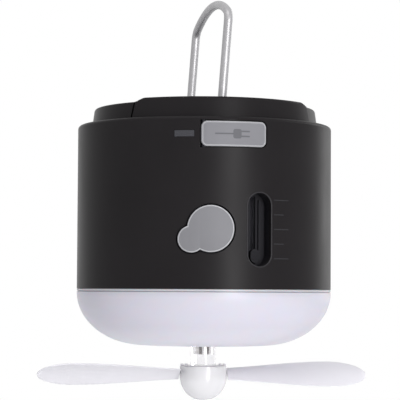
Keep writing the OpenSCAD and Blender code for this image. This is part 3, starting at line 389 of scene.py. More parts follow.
def cover_outline(inset):
    """The outer edge of the port cover, drawn in by the inset."""
    return rounded_outline(COVER_W, COVER_H, COVER_CORNER_R, inset + COVER_FIT)


def button_outline(inset):
    """The outer edge of the large disc and its lobe, drawn in by the inset."""
    big, small = BUTTON_R - BUTTON_FIT - inset, LOBE_R - BUTTON_FIT - inset
    away = math.hypot(LOBE_X, LOBE_Z)
    heading = math.degrees(math.atan2(LOBE_Z, LOBE_X))
    big_half = math.degrees(math.acos((away ** 2 + big ** 2 - small ** 2) / (2 * away * big)))
    small_half = math.degrees(math.acos((away ** 2 + small ** 2 - big ** 2) / (2 * away * small)))
    disc = arc(0, 0, big, heading + big_half, heading + 360 - big_half, DISC_STEPS)
    lobe = arc(LOBE_X, LOBE_Z, small, heading - 180 + small_half, heading + 180 - small_half,
               LOBE_STEPS)
    return disc + lobe[1:-1]


def drawn_in(outline, by):
    """The same outline drawn in by a fixed amount more."""
    return lambda inset: outline(inset + by)


def rounded_steps(low, top, edge):
    """Steps (inset, height) of a solid from low to top with a rounded upper edge."""
    steps = [(0.0, low), (0.0, top - edge)]
    for angle in ROUNDING_ANGLES:
        c, s = math.cos(math.radians(angle)), math.sin(math.radians(angle))
        steps.append((edge * (1 - c), top - edge + edge * s))
    return steps


def face_steps(proud, bevel, rise):
    """Steps (inset, height) of a face that lies in a rim and stands a little above it."""
    return [(0.0, proud - FACE_DEPTH), (0.0, proud), (bevel, proud + rise)]


def bent(x, height, up):
    """The point x beside and up above the front's middle, at a height over the drum's surface."""
    return Vector((x, -math.sqrt((BODY_R + height) ** 2 - x ** 2), up))


def azimuth_turn(azimuth):
    """A turn about the drum's axis, from the front to an azimuth."""
    return Matrix.Rotation(math.radians(azimuth), 4, "Z")


def front_frame(azimuth, z):
    """Moves what is bent round the drum's front to an azimuth and a height over the seam."""
    return Matrix.Translation((AXIS_X, 0, SEAM_Z + z)) @ azimuth_turn(azimuth)


def front_solid(name, outline, steps, azimuth, z, x_shift=0.0):
    """A solid on the drum's front: outline(inset) rings at heights over the drum, bent to it."""
    bm = bmesh.new()
    rings = []
    for inset, height in steps:
        rings.append([bm.verts.new((x + x_shift, height, y)) for x, y in outline(inset)])
    cap_rings(bm, rings)
    high = max(v.co.x for v in bm.verts)
    cut = min(v.co.x for v in bm.verts) + BEND_STRIP
    while cut < high:
        geometry = bm.verts[:] + bm.edges[:] + bm.faces[:]
        bmesh.ops.bisect_plane(bm, geom=geometry, dist=TINY,
                               plane_co=(cut, 0, 0), plane_no=(1, 0, 0))
        cut += BEND_STRIP
    for vert in bm.verts:
        vert.co = bent(*vert.co)
    bmesh.ops.transform(bm, matrix=front_frame(azimuth, z), verts=bm.verts)
    return mesh_object(name, bm)


def bead(name, outline, azimuth, z, radius, height):
    """A round bead along a closed outline on the drum's front."""
    place = front_frame(azimuth, z)
    points = [place @ bent(x, height, up) for x, up in outline]
    out = azimuth_turn(azimuth) @ Vector((0, -1, 0))
    bm = bmesh.new()
    rings = []
    for i, point in enumerate(points):
        along = (points[(i + 1) % len(points)] - points[i - 1]).normalized()
        rings.append(round_ring(bm, point, along, square_to(along, out), radius, BEAD_SIDES))
    bridge_rings(bm, rings, closed=True)
    return mesh_object(name, bm, SHARP_WIRE)


# ---- Material helpers ----
FINE_DETAIL = 2
CLOUD_DETAIL = 3
PLASTIC_CLOUDS = 45
PLASTIC_SPREAD = 0.03
METAL_CLOUDS = 90
METAL_SPREAD = 0.06
METAL_GRAIN = 1800
METAL_RELIEF = 0.004 * MM
METAL_SHADE = 0.86


def add_node(tree, kind, **settings):
    """A new node of a kind, with its settings."""
    made = tree.nodes.new(kind)
    for key, value in settings.items():
        setattr(made, key, value)
    return made


def set_inputs(node, **values):
    """Sets sockets of a node by their names, with underscores for the spaces."""
    for socket, value in values.items():
        node.inputs[socket.replace("_", " ")].default_value = value


class Look:
    """Builds a Principled material with procedural colour, roughness and bump."""

    def __init__(self, name, colour, roughness, **sockets):
        self.material = bpy.data.materials.new(name)
        self.material.use_nodes = True
        self.tree = self.material.node_tree
        self.shader = self.tree.nodes["Principled BSDF"]
        set_inputs(self.shader, Base_Color=(*colour, 1), Roughness=roughness, **sockets)
        self.colour = colour
        self.roughness = roughness
        self.place = self.node("ShaderNodeTexCoord").outputs["Object"]

    def node(self, kind, **settings):
        return add_node(self.tree, kind, **settings)

    def link(self, output, target):
        self.tree.links.new(output, target)

    def noise(self, per_metre, detail, stretch=(1, 1, 1)):
        """A noise with so many cells a metre, stretched along the axes."""
        mapping = self.node("ShaderNodeMapping")
        set_inputs(mapping, Scale=stretch)
        self.link(self.place, mapping.inputs["Vector"])
        noise = self.node("ShaderNodeTexNoise")
        set_inputs(noise, Scale=per_metre, Detail=detail)
        self.link(mapping.outputs["Vector"], noise.inputs["Vector"])
        return noise.outputs["Fac"]

    def ramp(self, value, low, high):
        """Maps a noise value from 0.3..0.7 to low..high."""
        spread = self.node("ShaderNodeMapRange")
        set_inputs(spread, From_Min=0.3, From_Max=0.7, To_Min=low, To_Max=high)
        self.link(value, spread.inputs["Value"])
        return spread.outputs["Result"]

    def vary_colour(self, value, other):
        """Mixes the base colour towards another where the value is high."""
        mix = self.node("ShaderNodeMix", data_type="RGBA")
        mix.inputs["A"].default_value = (*self.colour, 1)
        mix.inputs["B"].default_value = (*other, 1)
        self.link(self.ramp(value, 0, 1), mix.inputs["Factor"])
        self.link(mix.outputs["Result"], self.shader.inputs["Base Color"])

    def bands(self, low, high, stops):
        """Colours the piece by height, from (share of the way up, colour) stops."""
        split = self.node("ShaderNodeSeparateXYZ")
        self.link(self.place, split.inputs["Vector"])
        spread = self.node("ShaderNodeMapRange")
        set_inputs(spread, From_Min=low, From_Max=high)
        self.link(split.outputs["Z"], spread.inputs["Value"])
        ramp = self.node("ShaderNodeValToRGB")
        elements = ramp.color_ramp.elements
        elements.remove(elements[1])
        elements[0].position = stops[0][0]
        elements[0].color = (*stops[0][1], 1)
        for share, colour in stops[1:]:
            elements.new(share).color = (*colour, 1)
        self.link(spread.outputs["Result"], ramp.inputs["Fac"])
        self.link(ramp.outputs["Color"], self.shader.inputs["Base Color"])

    def vary_roughness(self, value, spread):
        """Varies the roughness by the spread to either side."""
        low, high = self.roughness - spread, self.roughness + spread
        self.link(self.ramp(value, low, high), self.shader.inputs["Roughness"])

    def bump(self, value, height):
        """Relief of so many metres from a value."""
        bump = self.node("ShaderNodeBump")
        set_inputs(bump, Strength=1, Distance=height)
        self.link(value, bump.inputs["Height"])
        self.link(bump.outputs["Normal"], self.shader.inputs["Normal"])


def moulded(name, colour, roughness, grain=2600, relief=0.012 * MM, shade=1.12, **sockets):
    """Moulded plastic with a fine texture and slight unevenness of colour."""
    look = Look(name, colour, roughness, **sockets)
    fine = look.noise(grain, FINE_DETAIL)
    cloud = look.noise(PLASTIC_CLOUDS, CLOUD_DETAIL)
    look.vary_colour(cloud, tuple(min(1, c * shade) for c in colour))
    look.vary_roughness(cloud, PLASTIC_SPREAD)
    look.bump(fine, relief)
    return look.material


def metal(name, colour, roughness, stretch=(1, 1, 1), metallic=1.0):
    """Metal with fine drawn marks along the axis that is stretched least."""
    look = Look(name, colour, roughness, Metallic=metallic)
    marks = look.noise(METAL_GRAIN, FINE_DETAIL, stretch)
    cloud = look.noise(METAL_CLOUDS, CLOUD_DETAIL)
    look.vary_colour(cloud, tuple(c * METAL_SHADE for c in colour))
    look.vary_roughness(marks, METAL_SPREAD)
    look.bump(marks, METAL_RELIEF)
    return look.material


# ---- Finishes: one for each slot of the record, and those of single pieces ----
# Moulded plastics: colour, roughness, and what differs from the common one
PLASTICS = {
    "black_plastic": ((0.0102, 0.0091, 0.0098), 0.36, {"Specular_IOR_Level": 0.07}),
    "grey_rubber": ((0.157, 0.156, 0.167), 0.6, {"Specular_IOR_Level": 0.15}),
    "grey_plastic": ((0.15, 0.149, 0.158), 0.55, {"Specular_IOR_Level": 0.15}),
    "dark_plastic": ((0.0125, 0.012, 0.0145), 0.5, {"Specular_IOR_Level": 0.08}),
    "window_plastic": ((0.03, 0.03, 0.035), 0.3,
                       {"relief": 0.002 * MM, "Specular_IOR_Level": 0.3}),
    "circuit_board": ((0.012, 0.07, 0.035), 0.35, {}),
    "lamp_plastic": ((0.78, 0.78, 0.76), 0.45, {"shade": 1.04}),
    "light_chip": ((0.8, 0.62, 0.2), 0.35, {"shade": 1.05}),
    "seal_rubber": ((0.03, 0.03, 0.03), 0.6, {}),
    "cell_wrap": ((0.06, 0.2, 0.4), 0.3, {}),
    "clear_plastic": ((0.79, 0.776, 0.81), 0.35,
                      {"grain": 300, "relief": 0.0005 * MM, "shade": 1.03,
                       "Transmission_Weight": 0.35, "IOR": 1.46, "Specular_IOR_Level": 0.2}),
    "lead_sheath": ((0.3, 0.03, 0.03), 0.35, {}),
    # Paler than their faces, as painted highlights on rounded edges: the button's rim and the cover's
    "rim_plastic": ((0.31, 0.31, 0.32), 0.45, {"Specular_IOR_Level": 0.3}),
    "cover_rim": ((0.25, 0.25, 0.26), 0.5, {"Specular_IOR_Level": 0.3}),
    "cover_mark": ((0.09, 0.09, 0.098), 0.6, {"Specular_IOR_Level": 0.2}),
    "scale_print": ((0.02, 0.02, 0.022), 0.5, {"Specular_IOR_Level": 0.15}),
    # Paler than the housing, as a painted highlight along the bead round the slot
    "slot_rim": ((0.016, 0.015, 0.017), 0.4, {"Specular_IOR_Level": 0.2}),
    "clear_collar": ((0.93, 0.922, 0.94), 0.08,
                     {"relief": 0.001 * MM, "shade": 1.01,
                      "Transmission_Weight": 0.88, "IOR": 1.46}),
    "clear_hub": ((0.94, 0.932, 0.945), 0.15,
                  {"relief": 0.001 * MM, "shade": 1.0,
                   "Transmission_Weight": 0.6, "IOR": 1.4}),
    "dust_film": ((0.16, 0.157, 0.178), 0.6, {"Specular_IOR_Level": 0.2}),
    # Painted shade in the sleeve's flutes
    "flute_dark": ((0.09, 0.06, 0.05), 0.5, {"Specular_IOR_Level": 0.2}),
}
# Metals: colour, roughness, and what differs from the common one
METALS = {
    "wire_steel": ((0.41, 0.405, 0.415), 0.46, {"stretch": (1, 1, 0.04), "metallic": 0.75}),
    "screw_steel": ((0.6, 0.6, 0.6), 0.3, {}),
    "socket_metal": ((0.62, 0.62, 0.63), 0.28, {}),
    "nickel": ((0.6, 0.58, 0.54), 0.25, {}),
    "motor_steel": ((0.5, 0.5, 0.52), 0.28, {}),
    "brass": ((0.62, 0.5, 0.33), 0.3, {}),
    "sleeve_metal": ((0.95, 0.93, 0.9), 0.3, {}),
}
# CAD nodes with a finish of their own instead of their slot's
NODE_FINISHES = {"drive_sleeve": "sleeve_metal", "slide_resistor": "dust_film"}

LENS_COLOUR = (0.67, 0.65, 0.745)
LENS_ROUGHNESS = 0.36
LENS_GRAIN = 900
LENS_RELIEF = 0.003 * MM
LENS_SOCKETS = {
    "Subsurface_Weight": 0.3,
    "Subsurface_Scale": 4 * MM,
    "Specular_IOR_Level": 0.4,
}
# The lens's colour by the share of its height, painted light and shade: the bowl lighter towards
# the bottom, then painted shade at the groove and the flange, behind which the black housing stands
FLANGE_SHARE = FLANGE_H / LENS_H
LENS_PAINTED_SHADING = (
    (0.0, (0.61, 0.597, 0.66)),
    (0.35, (0.5, 0.486, 0.543)),
    (0.6, (0.48, 0.467, 0.528)),
    (0.85, (0.46, 0.45, 0.503)),
    (0.995 - 1.5 * FLANGE_SHARE, (0.42, 0.415, 0.46)),
    (1 - 1.4 * FLANGE_SHARE, (0.3, 0.295, 0.33)),
    (1 - FLANGE_SHARE, (0.3, 0.295, 0.32)),
    (1 - 0.9 * FLANGE_SHARE, (0.42, 0.415, 0.445)),
    (1 - 0.3 * FLANGE_SHARE, (0.36, 0.355, 0.375)),
    (1.0, (0.27, 0.265, 0.28)),
)


def lens_material():
    """Milky plastic with painted light and shade by height: lighter towards the bottom, with painted shade at the
    flange and groove, where the black housing stands behind it.
    """
    look = Look("milky_lens", LENS_COLOUR, LENS_ROUGHNESS, **LENS_SOCKETS)
    look.bands(LENS_LOW_Z, SEAM_Z, LENS_PAINTED_SHADING)
    look.bump(look.noise(LENS_GRAIN, FINE_DETAIL), LENS_RELIEF)
    look.vary_roughness(look.noise(PLASTIC_CLOUDS, CLOUD_DETAIL), PLASTIC_SPREAD)
    return look.material


def make_materials():
    """Every finish by its name."""
    materials = {"milky_lens": lens_material()}
    for make, table in ((moulded, PLASTICS), (metal, METALS)):
        for name, (colour, roughness, options) in table.items():
            materials[name] = make(name, colour, roughness, **options)
    return materials


def dress_nodes(materials):
    """Every CAD node takes the material of its slot, or one of its own."""
    for part in frame["record"]["subparts"]:
        node = frame["nodes"][part["node"]]
        finish = NODE_FINISHES.get(part["node"], part["material_slot"])
        node.data.materials.clear()
        node.data.materials.append(materials[finish])


# ---- Pieces ----
def hook_path():
    """The middle line of the hook's wire, from the end of one pivot pin to the other's."""
    arch_y = HOOK_H - HOOK_ARCH_R
    half = math.asin((LEG_Y - HOOK_BEND_R) / (HOOK_ARCH_R - HOOK_BEND_R))
    bend_y = arch_y + (HOOK_ARCH_R - HOOK_BEND_R) * math.cos(half)
    half_deg = math.degrees(half)
    side = [(PIN_END_Y, 0), (PIN_Y + PIN_L / 2, 0)]
    side += arc(PIN_Y, FOOT_BEND_R, FOOT_BEND_R, 270, 180, FOOT_STEPS)
    for share in LEG_SHARES:
        side.append((LEG_Y, FOOT_BEND_R + (bend_y - FOOT_BEND_R) * share))
    side += arc(LEG_Y - HOOK_BEND_R, bend_y, HOOK_BEND_R, 0, 90 - half_deg, BEND_STEPS)
    top = arc(0, arch_y, HOOK_ARCH_R, 90 - half_deg, 90 + half_deg, ARCH_STEPS)[1:-1]
    other = [(-across, up) for across, up in reversed(side)]
    lean = Matrix.Rotation(HOOK_LEAN, 4, "Y")
    return [PIVOT + lean @ Vector((0, across, up)) for across, up in side + top + other]


def make_hook(materials):
    """The wire hook in one piece, with its pivot pins."""
    hook = swept("hook_wire", hook_path(), WIRE_R)
    finished(hook, "hook", "wire_steel", materials["wire_steel"], "carry_hook")


def lens_curve(inset):
    """The lens's outline from its straight rim to its flat bottom, drawn in by inset."""
    depth = LENS_H - FLANGE_H - LENS_GROOVE - inset
    points = []
    for i in range(LENS_CURVE_STEPS + 1):
        a = math.radians(90 * i / LENS_CURVE_STEPS)
        radius = LENS_FLAT_R + (BODY_R - LENS_FLAT_R - inset) * math.cos(a)
        height = -FLANGE_H - LENS_GROOVE - depth * math.sin(a)
        points.append((radius, SEAM_Z + height))
    return points


def make_lens(materials):
    """The lens: a bowl with a hole for the shaft, a groove below its flange, and a spigot."""
    spigot_in_r = SPIGOT_R - LENS_WALL
    groove_r = BODY_R - LENS_GROOVE
    flange_z = SEAM_Z - FLANGE_H
    profile = [(LENS_HOLE_R, LENS_LOW_Z + LENS_LIP), (LENS_HOLE_R, LENS_LOW_Z + LENS_WALL)]
    profile += list(reversed(lens_curve(LENS_WALL)))
    profile += [
        (spigot_in_r, flange_z),
        (spigot_in_r, SEAM_Z + SPIGOT_H),
        (SPIGOT_R, SEAM_Z + SPIGOT_H),
        (SPIGOT_R, SEAM_Z + SEAM_CLEARANCE),
        (BODY_R - LENS_LIP, SEAM_Z - SEAM_CLEARANCE),
        (BODY_R, SEAM_Z - LENS_LIP),
        (BODY_R, flange_z + FLANGE_EDGE),
        (BODY_R - FLANGE_EDGE, flange_z),
        (groove_r, flange_z - LENS_GROOVE / 3),
        (groove_r, flange_z - LENS_GROOVE * 0.7),
    ]
    profile += lens_curve(0)
    profile.append((LENS_HOLE_R + LENS_LIP, LENS_LOW_Z))
    lens = revolved("lamp_lens", profile, LENS_SIDES)
    finished(lens, "body", "milky_lens", materials["milky_lens"], "lens")


def make_port_cover(materials):
    """The cover: a face with its mark in a rounded rim painted paler as a highlight, and the hinge at its left
    edge.
    """
    # The rim is rounded, and paler than the face as a painted highlight on that edge
    rim_steps = rounded_steps(COVER_PROUD - COVER_T, COVER_PROUD, COVER_EDGE)
    cover = front_solid("port_flap", cover_outline, rim_steps, 0, PORT_Z)
    finished(cover, "cover", "grey_rubber", materials["cover_rim"], "port_cover")
    face = front_solid("flap_face", drawn_in(cover_outline, COVER_RIM_W),
                       face_steps(COVER_PROUD, COVER_FACE_BEVEL, COVER_FACE_RISE), 0, PORT_Z)
    finished(face, "cover", "grey_rubber", materials["grey_rubber"])
    face_top = COVER_PROUD + COVER_FACE_RISE
    mark_steps = [(0.0, face_top - MARK_DEPTH), (0.0, face_top + MARK_RISE)]
    for i, (x, z, w, h) in enumerate(COVER_MARK):
        shape = rounded_shape(w, h, min(w, h, MARK_CORNER_D) / 2)
        mark = front_solid(f"flap_mark_{i + 1}", shape, mark_steps, 0, PORT_Z + z, x)
        finished(mark, "cover", "grey_rubber", materials["cover_mark"])

    hinge = Vector(JOINTS["cover_open"]["pos_m"])
    low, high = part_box("port_cover")
    middle = Vector((hinge.x, hinge.y, (low.z + high.z) / 2))
    reach = Vector((0, 0, COVER_H / 2 - COVER_CORNER_R))
    barrel = straight("flap_knuckle", middle - reach, middle + reach, KNUCKLE_R * KNUCKLE_SHARE)
    finished(barrel, "cover", "grey_rubber", materials["grey_rubber"])
    pin = straight("flap_pin", Vector((hinge.x, hinge.y, low.z)),
                   Vector((hinge.x, hinge.y, high.z)), FLAP_PIN_R)
    finished(pin, "cover", "grey_rubber", materials["dark_plastic"])


def make_button(materials):
    """The cap: a face in a rounded rim painted paler as a highlight, the skirt with its lip, dark as painted shade
    in the gap round the cap, and the stem.
    """
    place = (BUTTON_AZIMUTH, BUTTON_Z)
    lip = -BUTTON_LIP - BUTTON_FIT
    # The skirt is dark as painted shade in the gap between the cap and the housing
    skirt_steps = [(lip, LIP_IN), (lip, LIP_OUT), (SKIRT_INSET, LIP_OUT),
                   (SKIRT_INSET, SKIRT_TOP + SKIRT_LAP)]
    skirt = front_solid("button_shade_skirt", button_outline, skirt_steps, *place)
    finished(skirt, "button", "grey_plastic", materials["dark_plastic"])
    # The rim is rounded, and paler than the face as a painted highlight on that edge
    rim_steps = rounded_steps(SKIRT_TOP, BUTTON_PROUD, BUTTON_EDGE)
    rim = front_solid("button_rim", button_outline, rim_steps, *place)
    finished(rim, "button", "grey_plastic", materials["rim_plastic"], "button_cap")
    face = front_solid("button_face", drawn_in(button_outline, BUTTON_RIM_W),
                       face_steps(BUTTON_PROUD, BUTTON_FACE_BEVEL, BUTTON_FACE_RISE), *place)
    finished(face, "button", "grey_plastic", materials["grey_plastic"])
    to_place = front_frame(*place)
    stem = straight("button_stem", to_place @ bent(0, STEM_END_R - BODY_R, 0),
                    to_place @ bent(0, LIP_IN + STEM_LAP, 0), STEM_R)
    finished(stem, "button", "grey_plastic", materials["grey_plastic"])


def make_slot_rim(materials):
    """The bead round the slot's mouth, which catches real highlight and is coloured paler than the housing as a
    painted highlight.
    """
    width, length = SLOT_W + SLOT_BEAD_SPREAD, SLOT_L + SLOT_BEAD_SPREAD
    outline = rounded_outline(width, length, width / 2, 0.0)
    rim = bead("slot_rim", outline, SLOT_AZIMUTH, SLOT_Z, SLOT_BEAD_R, SLOT_BEAD_HEIGHT)
    finished(rim, "body", "black_plastic", materials["slot_rim"])


def make_ticks(materials):
    """The printed scale right of the slot: long and short lines in turn."""
    start = SLOT_AZIMUTH + math.degrees(math.asin(SLOT_W / 2 / BODY_R)) + TICK_GAP
    for i in range(TICK_COUNT):
        length = TICK_LONG if i % 2 == 0 else TICK_SHORT
        middle = start + math.degrees(length / 2 / BODY_R)
        z = SLOT_Z + TICK_LIFT + (TICK_COUNT // 2 - i) * DETENT_PITCH
        shape = rounded_shape(length, TICK_H, TICK_H / 2)
        tick = front_solid(f"scale_line_{i + 1}", shape, TICK_PROFILE, middle, z)
        finished(tick, "body", "window_plastic", materials["scale_print"])


def chord(r):
    """The blade's width at a radius: it swells up to WIDE_R and rounds off to the tip."""
    if r < WIDE_R:
        s = (r - HUB_R) / (WIDE_R - HUB_R)
        swell = 0.5 * math.sin(math.pi / 2 * s) + 0.5 * s * s * (3 - 2 * s)
        return ROOT_CHORD + (WIDE_CHORD - ROOT_CHORD) * swell
    s = (r - WIDE_R) / (ROTOR_R - WIDE_R)
    return WIDE_CHORD * math.sqrt(max(0.0, 1 - s * s))


def blade_section(r):
    """Ring of (along, across, up) points of the blade's skin at radius r, edges rounded."""
    width = max(chord(r), TIP_CHORD)
    edge = min(BLADE_EDGE_T / 2, width / 6)  # a sixth where the tip gets narrow
    core = width / 2 - edge
    lower, upper, nose, tail = [], [], [], []
    for i in range(BLADE_ACROSS + 1):
        u = -1 + 2 * i / BLADE_ACROSS
        camber = BLADE_CAMBER * width * (1 - u * u)
        half = edge + (BLADE_T / 2 - BLADE_EDGE_T / 2) * (1 - u * u)
        lower.append((r, u * core, camber - half))
        upper.append((r, u * core, camber + half))
    for a in BLADE_EDGE_ANGLES:
        nose.append((r, core + edge * math.cos(a), edge * math.sin(a)))
        tail.append((r, -core - edge * math.cos(a), edge * math.sin(a)))
    return lower + nose + list(reversed(upper)) + list(reversed(tail))


def rotor_place(z, turn):
    """The middle of the rotor at a height, turned by an angle from where it rests."""
    return Matrix.Translation((AXIS_X, 0, z)) @ Matrix.Rotation(ROTOR_ANGLE + turn, 4, "Z")


def make_blade(name, turn, materials, node):
    """A blade from the hub's wall to its tip, its stations closer together near the tip."""
    stations = []
    for i in range(STATIONS_INSIDE):
        stations.append(HUB_R + BLADE_ROOT_GAP + (WIDE_R - HUB_R) * i / STATIONS_INSIDE)
    for i in range(STATIONS_OUTSIDE):
        share = math.sin(math.pi / 2 * i / STATIONS_OUTSIDE)
        stations.append(WIDE_R + (ROTOR_R - WIDE_R) * share)
    stations.append(ROTOR_R - BLADE_TIP_GAP)
    bm = bmesh.new()
    cap_rings(bm, [[bm.verts.new(p) for p in blade_section(r)] for r in stations])
    place = rotor_place(BLADE_Z, turn) @ Matrix.Rotation(BLADE_PITCH, 4, "X")
    bmesh.ops.transform(bm, matrix=place, verts=bm.verts)
    blade = mesh_object(name, bm, SHARP_BLADE)
    finished(blade, "fan", "clear_plastic", materials["clear_plastic"], node)


def make_hub(materials):
    """The clear hub with its collar, a solid core and the thin bowl below."""
    collar_in_r = SLEEVE_R + SLEEVE_FIT
    bore_low_z = SLEEVE_LOW_Z - SLEEVE_FIT
    floor_z = HUB_TOP_Z - HUB_WALL
    seat_z = HUB_TOP_Z + ROTOR_CLEARANCE
    collar = [
        (0, bore_low_z),
        (collar_in_r, bore_low_z),
        (collar_in_r, COLLAR_TOP_Z),
        (COLLAR_R - COLLAR_EDGE, COLLAR_TOP_Z),
        (COLLAR_R, COLLAR_TOP_Z - COLLAR_EDGE),
        (COLLAR_R, seat_z),
        (0, seat_z),
    ]
    tube = revolved("rotor_collar", collar, COLLAR_SIDES)
    finished(tube, "fan", "clear_plastic", materials["clear_collar"])
    inner_r = HUB_R - HUB_WALL
    bowl = [
        (0, HUB_TOP_Z),
        (HUB_R - HUB_EDGE, HUB_TOP_Z),
        (HUB_R - HUB_EDGE_CUT, HUB_TOP_Z - HUB_EDGE_CUT),
        (HUB_R, HUB_TOP_Z - HUB_EDGE),
    ]
    bowl += arc(0, HUB_LOW_Z, HUB_R, 0, BOWL_END, BOWL_STEPS)[:-1]
    bowl += [(0, HUB_LOW_Z - HUB_R), (0, HUB_LOW_Z - HUB_R + HUB_WALL)]
    bowl += arc(0, HUB_LOW_Z, inner_r, BOWL_END, 0, BOWL_STEPS)[1:]
    bowl += [(inner_r, floor_z), (COLLAR_R, floor_z), (COLLAR_R, HUB_LOW_Z), (0, HUB_LOW_Z)]
    hub = revolved("rotor_hub", bowl, HUB_SIDES)
    finished(hub, "fan", "clear_plastic", materials["clear_hub"], "fan_hub", "hub_cap")


def rotor_block(bm, radius, size, low_z, turn, pitch=0.0):
    """A block of (length, width, height), its middle at a radius, tilted about it by the pitch."""
    place = rotor_place(low_z + size[2] / 2, turn)
    place = place @ Matrix.Translation((radius, 0, 0)) @ Matrix.Rotation(pitch, 4, "X")
    block = bmesh.ops.create_cube(bm, size=1, matrix=place @ Matrix.Diagonal((*size, 1)))
    edges = dict.fromkeys(edge for vert in block["verts"] for edge in vert.link_edges)
    bmesh.ops.bevel(bm, geom=list(edges), offset=BLOCK_BEVEL, segments=2, affect="EDGES")


def make_roots(materials):
    """The blades' roots inside the hub and the small lugs on its rim."""
    root_middle_r = (ROOT_INNER_R + ROOT_OUTER_R) / 2
    root_size = (ROOT_OUTER_R - ROOT_INNER_R, ROOT_W, ROOT_T)
    for name, turn in (("rotor_root_1", 0), ("rotor_root_2", math.pi)):
        bm = bmesh.new()
        rotor_block(bm, root_middle_r, root_size, BLADE_Z - ROOT_DROP, turn, BLADE_PITCH)
        for radius in LUG_RADII:
            rotor_block(bm, radius, (LUG_L, LUG_W, LUG_H), HUB_TOP_Z - LUG_DROP, turn)
        roots = mesh_object(name, bm)
        finished(roots, "fan", "clear_plastic", materials["clear_plastic"])


def make_flutes(materials):
    """Dark blocks in the bottoms of the sleeve's flutes, as painted shade in the grooves."""
    size = Matrix.Diagonal((FLUTE_T, FLUTE_W, SLEEVE_L - ROTOR_CLEARANCE, 1))
    shift = Matrix.Translation((SLEEVE_R - FLUTE_DEPTH, 0, 0))
    bm = bmesh.new()
    for i in range(FLUTES):
        turn = math.radians(FLUTE_TURN + 360 * i / FLUTES)
        place = rotor_place(SLEEVE_LOW_Z + SLEEVE_L / 2, turn)
        bmesh.ops.create_cube(bm, size=1, matrix=place @ shift @ size)
    flutes = mesh_object("sleeve_flutes", bm)
    finished(flutes, "fan", "brass", materials["flute_dark"])


# ---- Stage ----
FILL_LEVEL = 0.85
FILL_COLOUR = (0.96, 0.97, 1.0)
FLOOR_COLOUR = (0.9, 0.9, 0.9)
FLOOR_ROUGHNESS = 0.9
FLOOR_SIZE = 3.0
FLOOR_CELLS = 8
FLOOR_DROP = 0.16
SHADOW_R = 0.3  # out to here the floor takes the object's shadow
WHITE_R = 0.8  # and from here on it is seen as plain white

# Soft boxes: azimuth, elevation, distance, width, height, watts
LIGHTS = {
    "strip_right": (12.5, -2, 1.0, 0.18, 0.8, 9.5),
    "top_box": (-40, 65, 1.2, 0.8, 0.8, 3.0),
    "right_rear": (122, 10, 1.2, 0.4, 0.8, 1.5),
}


def seen_directly(tree):
    """1 for camera, glossy and transmission rays, 0 for the light that falls on things."""
    path = add_node(tree, "ShaderNodeLightPath")
    total = path.outputs["Is Camera Ray"]
    for name in ("Is Glossy Ray", "Is Transmission Ray"):
        add = add_node(tree, "ShaderNodeMath", operation="MAXIMUM")
        tree.links.new(total, add.inputs[0])
        tree.links.new(path.outputs[name], add.inputs[1])
        total = add.outputs[0]
    return total


def mix_shaders(tree, share, first, second, surface):
    """Leads two shaders to a surface, the second by its share."""
    mix = add_node(tree, "ShaderNodeMixShader")
    tree.links.new(share, mix.inputs["Fac"])
    tree.links.new(first, mix.inputs[1])
    tree.links.new(second, mix.inputs[2])
    tree.links.new(mix.outputs["Shader"], surface)


def floor_material():
    """Pale matte near the object, for its shadow; what is seen of it further out is white."""
    material = bpy.data.materials.new("floor_white")
    material.use_nodes = True
    tree = material.node_tree
    shader = tree.nodes["Principled BSDF"]
    set_inputs(shader, Base_Color=(*FLOOR_COLOUR, 1), Roughness=FLOOR_ROUGHNESS)
    white = add_node(tree, "ShaderNodeEmission")
    set_inputs(white, Strength=1)
    place = add_node(tree, "ShaderNodeTexCoord")
    away = add_node(tree, "ShaderNodeVectorMath", operation="LENGTH")
    tree.links.new(place.outputs["Object"], away.inputs[0])
    spread = add_node(tree, "ShaderNodeMapRange", interpolation_type="SMOOTHSTEP")
    set_inputs(spread, From_Min=SHADOW_R, From_Max=WHITE_R)
    tree.links.new(away.outputs["Value"], spread.inputs["Value"])
    share = add_node(tree, "ShaderNodeMath", operation="MULTIPLY")
    tree.links.new(seen_directly(tree), share.inputs[0])
    tree.links.new(spread.outputs["Result"], share.inputs[1])
    mix_shaders(tree, share.outputs[0], shader.outputs["BSDF"], white.outputs["Emission"],
                tree.nodes["Material Output"].inputs["Surface"])
    return material


def make_world():
    """Even light on the object, and white where the world itself is seen."""
    world = bpy.data.worlds.new("studio")
    bpy.context.scene.world = world
    world.use_nodes = True
    tree = world.node_tree
    fill = tree.nodes["Background"]
    set_inputs(fill, Color=(*FILL_COLOUR, 1), Strength=FILL_LEVEL)
    white = add_node(tree, "ShaderNodeBackground")
    set_inputs(white, Color=(1, 1, 1, 1), Strength=1)
    mix_shaders(tree, seen_directly(tree), fill.outputs["Background"],
                white.outputs["Background"], tree.nodes["World Output"].inputs["Surface"])


def make_floor():
    """A floor below the hanging object, low enough to leave its shadow soft."""
    bm = bmesh.new()
    bmesh.ops.create_grid(bm, x_segments=FLOOR_CELLS, y_segments=FLOOR_CELLS, size=FLOOR_SIZE)
    floor = mesh_object("floor", bm)
    floor.location = (AXIS_X, 0, cad_low[2] - FLOOR_DROP)
    floor.data.materials.append(floor_material())


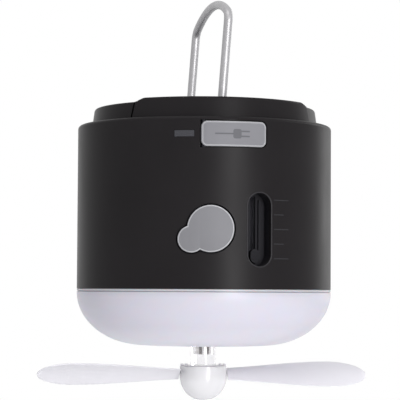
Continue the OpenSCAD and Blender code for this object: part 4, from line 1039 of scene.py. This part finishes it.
def area_light(name, azimuth, elevation, distance, width, height, power):
    """A soft box aimed at the middle of the drum; azimuth 0 is the front, -Y."""
    light = bpy.data.lights.new(name, "AREA")
    light.shape = "RECTANGLE"
    light.size = width
    light.size_y = height
    light.energy = power
    lamp = bpy.data.objects.new(name, light)
    bpy.context.scene.collection.objects.link(lamp)
    a, e = math.radians(azimuth), math.radians(elevation)
    away = Vector((math.sin(a) * math.cos(e), -math.cos(a) * math.cos(e), math.sin(e)))
    middle = Vector((AXIS_X, 0, SEAM_Z + BODY_H / 2))
    lamp.location = middle + distance * away
    lamp.rotation_euler = away.to_track_quat("Z", "Y").to_euler()


# ---- Camera, solved from the photographed proportions; angles in degrees ----
CAMERA_AZIMUTH = -12.975
CAMERA_DISTANCE = 759.4 * MM
CAMERA_PITCH = 2.864
CAMERA_YAW = 0.135
CAMERA_ROLL = 0.33
FOCAL_PX = 1779
FRAME_PX = 400
SENSOR = 36  # in millimetres, as Blender counts it
CLIP_START = 0.01


def make_camera():
    """A camera at the height of the seam, turned a little off the drum's axis."""
    data = bpy.data.cameras.new("camera")
    data.sensor_width = SENSOR
    data.lens = SENSOR * FOCAL_PX / FRAME_PX
    data.clip_start = CLIP_START
    camera = bpy.data.objects.new("camera", data)
    bpy.context.scene.collection.objects.link(camera)
    a = math.radians(CAMERA_AZIMUTH)
    beside, before = CAMERA_DISTANCE * math.sin(a), -CAMERA_DISTANCE * math.cos(a)
    camera.location = (AXIS_X + beside, before, SEAM_Z)
    turn = (Matrix.Rotation(math.radians(CAMERA_AZIMUTH + CAMERA_YAW), 4, "Z")
            @ Matrix.Rotation(math.radians(90 + CAMERA_PITCH), 4, "X")
            @ Matrix.Rotation(math.radians(CAMERA_ROLL), 4, "Z"))
    camera.rotation_euler = turn.to_euler()
    bpy.context.scene.camera = camera


def build():
    """Makes the camera, the materials, every piece and the stage, in this order."""
    make_camera()
    materials = make_materials()
    dress_nodes(materials)
    make_hook(materials)
    make_lens(materials)
    make_port_cover(materials)
    make_button(materials)
    make_slot_rim(materials)
    make_ticks(materials)
    make_blade("rotor_blade_1", 0, materials, "fan_blade_1")
    make_blade("rotor_blade_2", math.pi, materials, "fan_blade_2")
    make_hub(materials)
    make_roots(materials)
    make_flutes(materials)
    make_world()
    make_floor()
    for name, settings in LIGHTS.items():
        area_light(name, *settings)
    bpy.context.scene.view_settings.view_transform = "Standard"


build()
